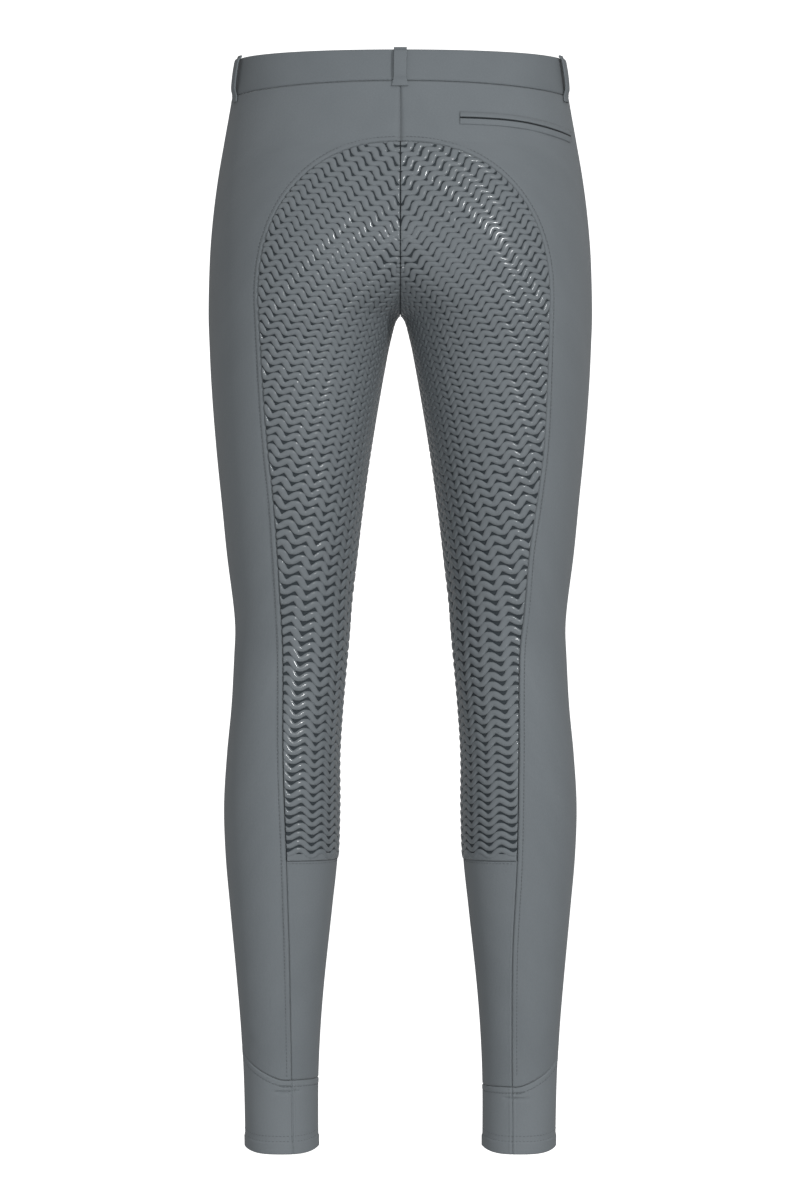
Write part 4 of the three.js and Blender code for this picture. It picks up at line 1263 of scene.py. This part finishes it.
reach, slit = slit_path(90)
for name, way in (("welt_upper", 1), ("welt_lower", -1)):
    edge = WELT_PARTING + WELT_WIDTH * WELT_SECTION[:, 0]
    height = slit[:, None] + way * edge
    ends = np.ones(len(reach))
    ends[[0, -1]] = WELT_END
    thick = WELT_CLOTH * (0.5 + (WELT_SECTION[:, 1] - 0.5) * ends[:, None])
    lift = WELT_LIFT + thick - WELT_TAPER * WELT_SECTION[:, 0]
    tube_piece(name, along_slit(height, reach, lift), TWILL, flat_grid(reach[:, None], height))

# %% [markdown]
# Between the welts the pocket bag shows, deep in shade. A thin flat strip in painted shade stands
# for all of it. A real hole with a bag behind it would look the same here, and would have to be cut by
# hand.

# %% The mouth of the pocket
# Columns: millimetres up, lift
MOUTH_SECTION = np.array([[-1.0, 0.6], [-0.7, 0.85], [0.7, 0.85], [1.0, 0.6], [0.8, 0.3], [-0.8, 0.3]])
mouth = along_slit(slit[:, None] + MOUTH_SECTION[:, 0], reach, MOUTH_SECTION[:, 1])
# The strip's near-black colour is painted shade inside the slit
tube_piece("pocket_mouth", mouth, POCKET_MOUTH_PAINTED_SHADE)

# %% [markdown]
# The cuffs are a smooth elastic knit. Their upper edge is sewn to the leg in a curve that rises to
# a point on the outer side, and their hem is turned up and sewn with two rows. A seam runs down the
# back, and the knit puckers a little beside it, where the curve begins.

# %% Ankle cuffs
CUFF_CLOTH, CUFF_RADIUS = 1.4, 36.0
# Columns: millimetres below the top, outwards of the seam, half length, breadth, depth
PUCKERS = np.array([[10.0, 8, 9.0, 1.0, 1.7], [5.2, 6, 5.0, 0.8, 0.9], [9.5, -5, 3.5, 1.2, 0.8]])


def cuff_relief(heights, angles, side):
    """The top seam's rib, the back seam's groove and the puckers beside it."""
    base = body_point(heights, angles)
    seams = {f"cuff_{side}": CUFF_SEAM, f"back_{side}": CUFF_BACK_SEAM, "inside_leg": INSIDE_LEG}
    reliefs = [seam_relief(distance_to(base, SEAM_LINES[line]), **form) for line, form in seams.items()]
    relief = reliefs[0] + reliefs[1] + reliefs[2]
    seam = seam_angle(heights, side)
    for below, outwards, half, breadth, depth in PUCKERS:
        along = (angles - seam) * CUFF_RADIUS - outwards
        level = cuff_top(seam, side) - below
        relief -= depth * np.exp(-((along / half) ** 4) - ((heights - level) / breadth) ** 2)
    return relief


# Where the inner face reaches up behind the leg's panels, so that no light comes through the seam
LAP = 2 * SEAM_GAP
for side in SIDES:
    seam = float(seam_angle(CUFF_TOP - 30, side))
    near_seam = [seam + spaced((0, 0.018), (0.2, 0)), seam - spaced((0.018, 0.018), (0.2, 0))]
    angles = np.sort(np.concatenate([np.linspace(-math.pi, math.pi, 150)[:-1], *near_seam]))
    share = spaced((0, 0.008), (0.2, 0.03), (1, 0))[:, None]
    start = cuff_top(angles, side) - SEAM_GAP
    hem = hem_at(angles)
    hem_top = hem + HEM_HEIGHT
    upper = start + (hem_top - start) * share
    drop = spaced((0.5, 0.5), (3, 2), (HEM_HEIGHT - 1.2, 0.3), (HEM_HEIGHT, 0))[:, None]
    heights = np.vstack([upper, hem_top - drop])
    turned_up = smooth_step(0.4, -1.0, heights - hem_top) * HEM_EXTRA
    rounded = 0.7 * np.clip(1 - (heights - hem) / 1.2, 0, 1) ** 2
    angle_grid = angles + 0 * heights
    relief = cuff_relief(heights, angle_grid, side)
    outer = lifted(heights, angle_grid, relief + turned_up - rounded)
    heights[0] += LAP
    inner = lifted(heights, angle_grid, -CUFF_CLOTH + 0 * heights + rounded * 0.6)
    points, faces = wall(outer, inner, ring=True)
    flat = np.tile(flat_places(outer).reshape(-1, 2), (2, 1))
    name = f"cuff_knit_{side}"
    PIECES[name] = add_mesh(name, mirrored(points, side), faces, CUFF_KNIT, flat)

# %% [markdown]
# Stitches are what the eye reads as sewn. Each is a short thread that dips in at both ends. One
# array holds every stitch of a row, so hundreds of them cost little. A row of dashes in the
# material would be simpler, but it would lie flat in the side light.

# %% The form of a stitch
THREAD_RADIUS = 0.28


def stitch_row(line, normals, length=2.6, gap=0.7, radius=THREAD_RADIUS, lift=0.2):
    """Rings of one tube for each stitch: its centre follows the line, lifted by a low arch, and its
    ends are thin."""
    run = np.append(0, np.linalg.norm(np.diff(line, axis=0), axis=-1).cumsum())
    starts = np.arange(gap, run[-1] - length, length + gap)
    bend = np.linspace(0, 1, 5)
    at = starts[:, None] + length * bend
    centre = np.stack([np.interp(at, run, line[:, k]) for k in range(3)], -1)
    normal = np.stack([np.interp(at, run, normals[:, k]) for k in range(3)], -1)
    along = np.gradient(centre, axis=1)
    along /= np.linalg.norm(along, axis=-1, keepdims=True)
    across = np.cross(along, normal)
    arch = lift - 1.3 * radius + 1.5 * radius * np.sin(math.pi * bend) ** 0.6
    centre = centre + normal * arch[:, None]
    turn = np.linspace(0, 2 * math.pi, 7)[:-1]
    thin = radius * np.array([0.55, 1, 1, 1, 0.55])[:, None]
    side_part = (thin * np.cos(turn))[..., None] * across[:, :, None]
    up_part = (thin * np.sin(turn))[..., None] * normal[:, :, None]
    return centre[:, :, None] + side_part + up_part


def on_form(heights, angles):
    """A line on the cloth with its normals."""
    return body_point(heights, angles), body_normal(heights, angles)


example = stitch_row(*on_form(np.linspace(-300, -400, 20), np.full(20, -1.0)))
print("stitches in 100 mm of seam:", len(example))

# %% [markdown]
# Two rows show on the real breeches: one that holds the lapped edge beside the grip, which runs on
# to the cuff, and the rows round each cuff. The rows of one side that lie on the same piece are
# joined, because a mesh of hundreds of threads costs no more than one of ten.

# %% Rows of stitches
for side in SIDES:
    arch_turn = np.linspace(0.02, math.pi / 2, 300)
    arch = ARCH_FOOT + (ARCH_TOP - ARCH_FOOT) * np.cos(arch_turn) ** (2 / ARCH_POWER)
    beside = np.concatenate([arch, spaced((ARCH_FOOT - 2, 2), (-890, 0))])
    line, normals = on_form(beside, seam_angle(beside, side))
    along = np.gradient(line, axis=0)
    along /= np.linalg.norm(along, axis=-1, keepdims=True)
    outward = np.cross(normals, along)
    outward *= np.sign(outward[len(outward) // 2, 0])
    rows = [stitch_row(line + outward * 4.6, normals, lift=0.0)]
    below = GRIP_END - 2.2
    first, final = float(inner_angle(below, BACK)) + 0.01, float(seam_angle(below, side, -0.8))
    turn = np.linspace(first, final, 200)
    rows.append(stitch_row(*on_form(below + 0 * turn, turn), lift=0.1))
    tube_piece(f"seam_stitches_{side}", np.vstack(rows), THREAD, side=side)

    turn = np.linspace(-math.pi, math.pi, 500)
    hem_top = hem_at(turn) + HEM_HEIGHT
    levels = [hem_top + 0.8, hem_top + 5.4, cuff_top(turn, side) - 5.4]
    rows = [stitch_row(*on_form(level, turn), lift=0.0) for level in levels]
    tube_piece(f"cuff_stitches_{side}", np.vstack(rows), THREAD, side=side)
print("pieces so far:", len(PIECES))

# %% [markdown]
# Now every piece is tied to the model: it rides on the one body and stands for its node, whose
# part is hidden. The waves, stitches, border and pocket mouth stand for no node, because the model
# leaves them out.

# %% Ride and replace
REPLACES = {
    "outer_back_{}": (["back_panel_{}"], "main_cloth"),
    "front_{}": (["front_panel_{}", "front_thigh_{}", "front_shin_{}"], "main_cloth"),
    "calf_{}": (["calf_panel_{}"], "main_cloth"),
    "grip_cloth_{}": (["grip_panel_{}"], "grip"),
    "grip_waves_{}": ([], "grip"),
    "band_{}": (["waistband_{}"], "band_cloth"),
    "belt_loop_side_{}_strap": (["belt_loop_side_{}"], "band_cloth"),
    "belt_loop_front_{}_strap": (["belt_loop_front_{}"], "band_cloth"),
    "cuff_knit_{}": (["cuff_{}"], "cuff_cloth"),
    "grip_border_{}": ([], "main_cloth"),
    "pocket_mouth": ([], "main_cloth"),
    "seam_stitches_{}": ([], "main_cloth"),
    "cuff_stitches_{}": ([], "cuff_cloth"),
    "belt_loop_back_strap": (["belt_loop_back"], "band_cloth"),
    "tab": (["waist_tab"], "band_cloth"),
    "placket": (["fly_placket"], "main_cloth"),
    "button": (["waist_button"], "button"),
    "welt_upper": (["pocket_welt_upper"], "main_cloth"),
    "welt_lower": (["pocket_welt_lower"], "main_cloth"),
}
for pattern, (nodes, slot) in REPLACES.items():
    for side in SIDES if "{}" in pattern else ("",):
        piece = PIECES[pattern.format(side)]
        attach(piece, "root")
        if nodes:
            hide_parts(*[node.format(side) for node in nodes])
print("pieces tied to the body:", len(PIECES))

# %% [markdown]
# Each piece of cloth is listed with the size it was cut to. The sizes are the worn form's own
# lengths, less about 6% of stretch on the panels and the cuffs, and the print below tells how far
# each worn piece is from its cut.

# %% The cut of each piece of cloth
def cloth_area(piece):
    """Half the surface of a thin closed shell, in square metres."""
    areas = np.zeros(len(piece.data.polygons))
    piece.data.polygons.foreach_get("area", areas)
    return float(areas.sum() / 2)


# Width and length of the flat cut, its area where it isn't a rectangle, and what it hangs from
CUTS = {
    "outer_back_left": (0.210, 0.900, 0.0870, ["band_left"]),
    "outer_back_right": (0.210, 0.900, 0.0840, ["band_right"]),
    "front_left": (0.285, 0.900, 0.1580, ["band_left"]),
    "front_right": (0.285, 0.900, 0.1590, ["band_right"]),
    "calf_left": (0.075, 0.185, 0.0108, ["grip_cloth_left"]),
    "calf_right": (0.077, 0.185, 0.0114, ["grip_cloth_right"]),
    "grip_cloth_left": (0.192, 0.690, 0.0704, ["outer_back_left"]),
    "grip_cloth_right": (0.200, 0.690, 0.0736, ["outer_back_right"]),
    "band_left": (0.390, 0.033, None, []),
    "band_right": (0.390, 0.033, None, []),
    "cuff_knit_left": (0.225, 0.100, 0.0157, ["outer_back_left", "calf_left", "front_left"]),
    "cuff_knit_right": (0.225, 0.093, 0.0144, ["outer_back_right", "calf_right", "front_right"]),
    "belt_loop_back_strap": (0.012, 0.034, None, ["band_left", "band_right"]),
    "belt_loop_side_left_strap": (0.012, 0.042, None, ["band_left"]),
    "belt_loop_side_right_strap": (0.012, 0.042, None, ["band_right"]),
    "belt_loop_front_left_strap": (0.012, 0.042, None, ["band_left"]),
    "belt_loop_front_right_strap": (0.012, 0.042, None, ["band_right"]),
    "tab": (0.050, 0.027, None, ["band_left", "band_right"]),
    "placket": (0.034, 0.124, 0.0038, ["front_left"]),
    "welt_upper": (0.097, 0.010, 0.0007, ["outer_back_right"]),
    "welt_lower": (0.097, 0.010, 0.0007, ["outer_back_right"]),
}
for name, (width, length, area, hangs_from) in CUTS.items():
    share = cloth_area(PIECES[name]) / (area or width * length)
    print(f"{name}: cut {width:.3f} by {length:.3f} m, worn area {share:.2f} of the cut")

# %% [markdown]
# The studio is a pale round cove, whose floor curves up into its wall. The cove is lit on its own,
# as a white background is in a studio, and sends no light onto the breeches. Otherwise their edges
# would glow, and the photograph's are dark.

# %% The floor and its wall
def cove(radius=8.0, bend=2.0, floor=-1.0, top=7.0):
    """A floor that turns up into a round wall: the profile, a line, a quarter circle and a line,
    carried round the middle."""
    turn = np.linspace(0, math.pi / 2, 16)
    out = np.concatenate([[0.0, 2.0], radius - bend + bend * np.sin(turn), [radius, 0.0]])
    up = np.concatenate([[floor, floor], floor + bend * (1 - np.cos(turn)), [top, top]])
    spin = np.linspace(0, 2 * math.pi, 65)[:-1][:, None]
    rings = np.stack([out * np.cos(spin), out * np.sin(spin), up + 0 * spin], -1)
    count = len(out)
    index = np.arange(len(spin) * count).reshape(len(spin), count)
    ahead = np.roll(index, -1, axis=0)
    faces = np.stack([index[:, :-1], index[:, 1:], ahead[:, 1:], ahead[:, :-1]], -1).reshape(-1, 4)
    mesh = bpy.data.meshes.new("studio_cove")
    mesh.from_pydata(rings.reshape(-1, 3).tolist(), [], faces.tolist())
    mesh.polygons.foreach_set("use_smooth", np.ones(len(faces), bool))
    piece = bpy.data.objects.new("studio_cove", mesh)
    bpy.context.scene.collection.objects.link(piece)
    return piece


# Matt white paint, lit by lamps of its own, which its glow stands for
PAINT = new_material("matt_white_paint")
glow = {"Emission Color": linear("#ffffff"), "Emission Strength": 0.95}
white = {"Base Color": linear("#f4f4f4"), "Roughness": 0.9}
paint = add_node(PAINT, "ShaderNodeBsdfPrincipled", {**white, **glow})
add_node(PAINT, "ShaderNodeOutputMaterial", {"Surface": paint.outputs["BSDF"]})
backdrop = cove()
backdrop.data.materials.append(PAINT)
backdrop.visible_diffuse = False
backdrop.visible_glossy = False
backdrop.visible_shadow = False
print("cove:", len(backdrop.data.polygons), "faces")

# %% [markdown]
# A broad soft light stands above and to the camera's right, a low one in front, and a small lamp
# far to the right. The two soft ones are left out of reflections, so that the silicone shows only
# the small lamp's glints, as in the photograph. One large light would do for the cloth alone.

# %% Lights
world = bpy.data.worlds.new("studio")
bpy.context.scene.world = world
world.use_nodes = True
world.node_tree.nodes["Background"].inputs["Color"].default_value = linear("#ffffff")
world.node_tree.nodes["Background"].inputs["Strength"].default_value = 0.3


def soft_light(name, place, aim, width, height, power, glossy=False):
    """An area light that faces a point, and that shows in glossy surfaces or not."""
    data = bpy.data.lights.new(name, "AREA")
    data.shape, data.size, data.size_y, data.energy = "RECTANGLE", width, height, power
    lamp = bpy.data.objects.new(name, data)
    bpy.context.scene.collection.objects.link(lamp)
    lamp.visible_glossy = glossy
    away = np.array(place) - np.array(aim)
    away = away / np.linalg.norm(away)
    right = np.cross([0, 0, 1], away)
    right = right / np.linalg.norm(right)
    up = np.cross(away, right)
    lamp.matrix_world = Matrix([[right[k], up[k], away[k], place[k]] for k in range(3)] + [[0, 0, 0, 1]])
    return lamp


soft_light("key_softbox", (0.8, -2.6, 2.1), (0, 0, -0.45), 1.2, 1.2, 10)
soft_light("fill_softbox", (0.0, -4.1, -0.75), (0, 0, -0.8), 1.6, 0.5, 69)
soft_light("glint_lamp", (1.9, -3.3, 1.0), (0, 0, -0.4), 0.18, 0.18, 52, glossy=True)
print("lamps:", len(bpy.data.lights))

# %% [markdown]
# The camera stands level with the knees' upper side and far off, with a long lens, as a catalogue
# photograph is taken: near lenses would make the seat large and the cuffs small. Its frame is just
# taller than the breeches.

# %% Camera
CAMERA_DISTANCE, CAMERA_LEVEL, FRAME_HEIGHT, SENSOR = 4.5, -0.474, 1.056, 36.0
camera_data = bpy.data.cameras.new("camera")
camera_data.sensor_fit = "VERTICAL"
camera_data.sensor_height = SENSOR
camera_data.lens = SENSOR * CAMERA_DISTANCE / FRAME_HEIGHT
camera = bpy.data.objects.new("camera", camera_data)
bpy.context.scene.collection.objects.link(camera)
camera.location = (-0.0003, -CAMERA_DISTANCE, CAMERA_LEVEL)
camera.rotation_euler = (math.pi / 2, 0, 0)
bpy.context.scene.camera = camera
bpy.context.scene.view_settings.view_transform = "Standard"
print("camera lens:", round(camera_data.lens, 1), "mm")
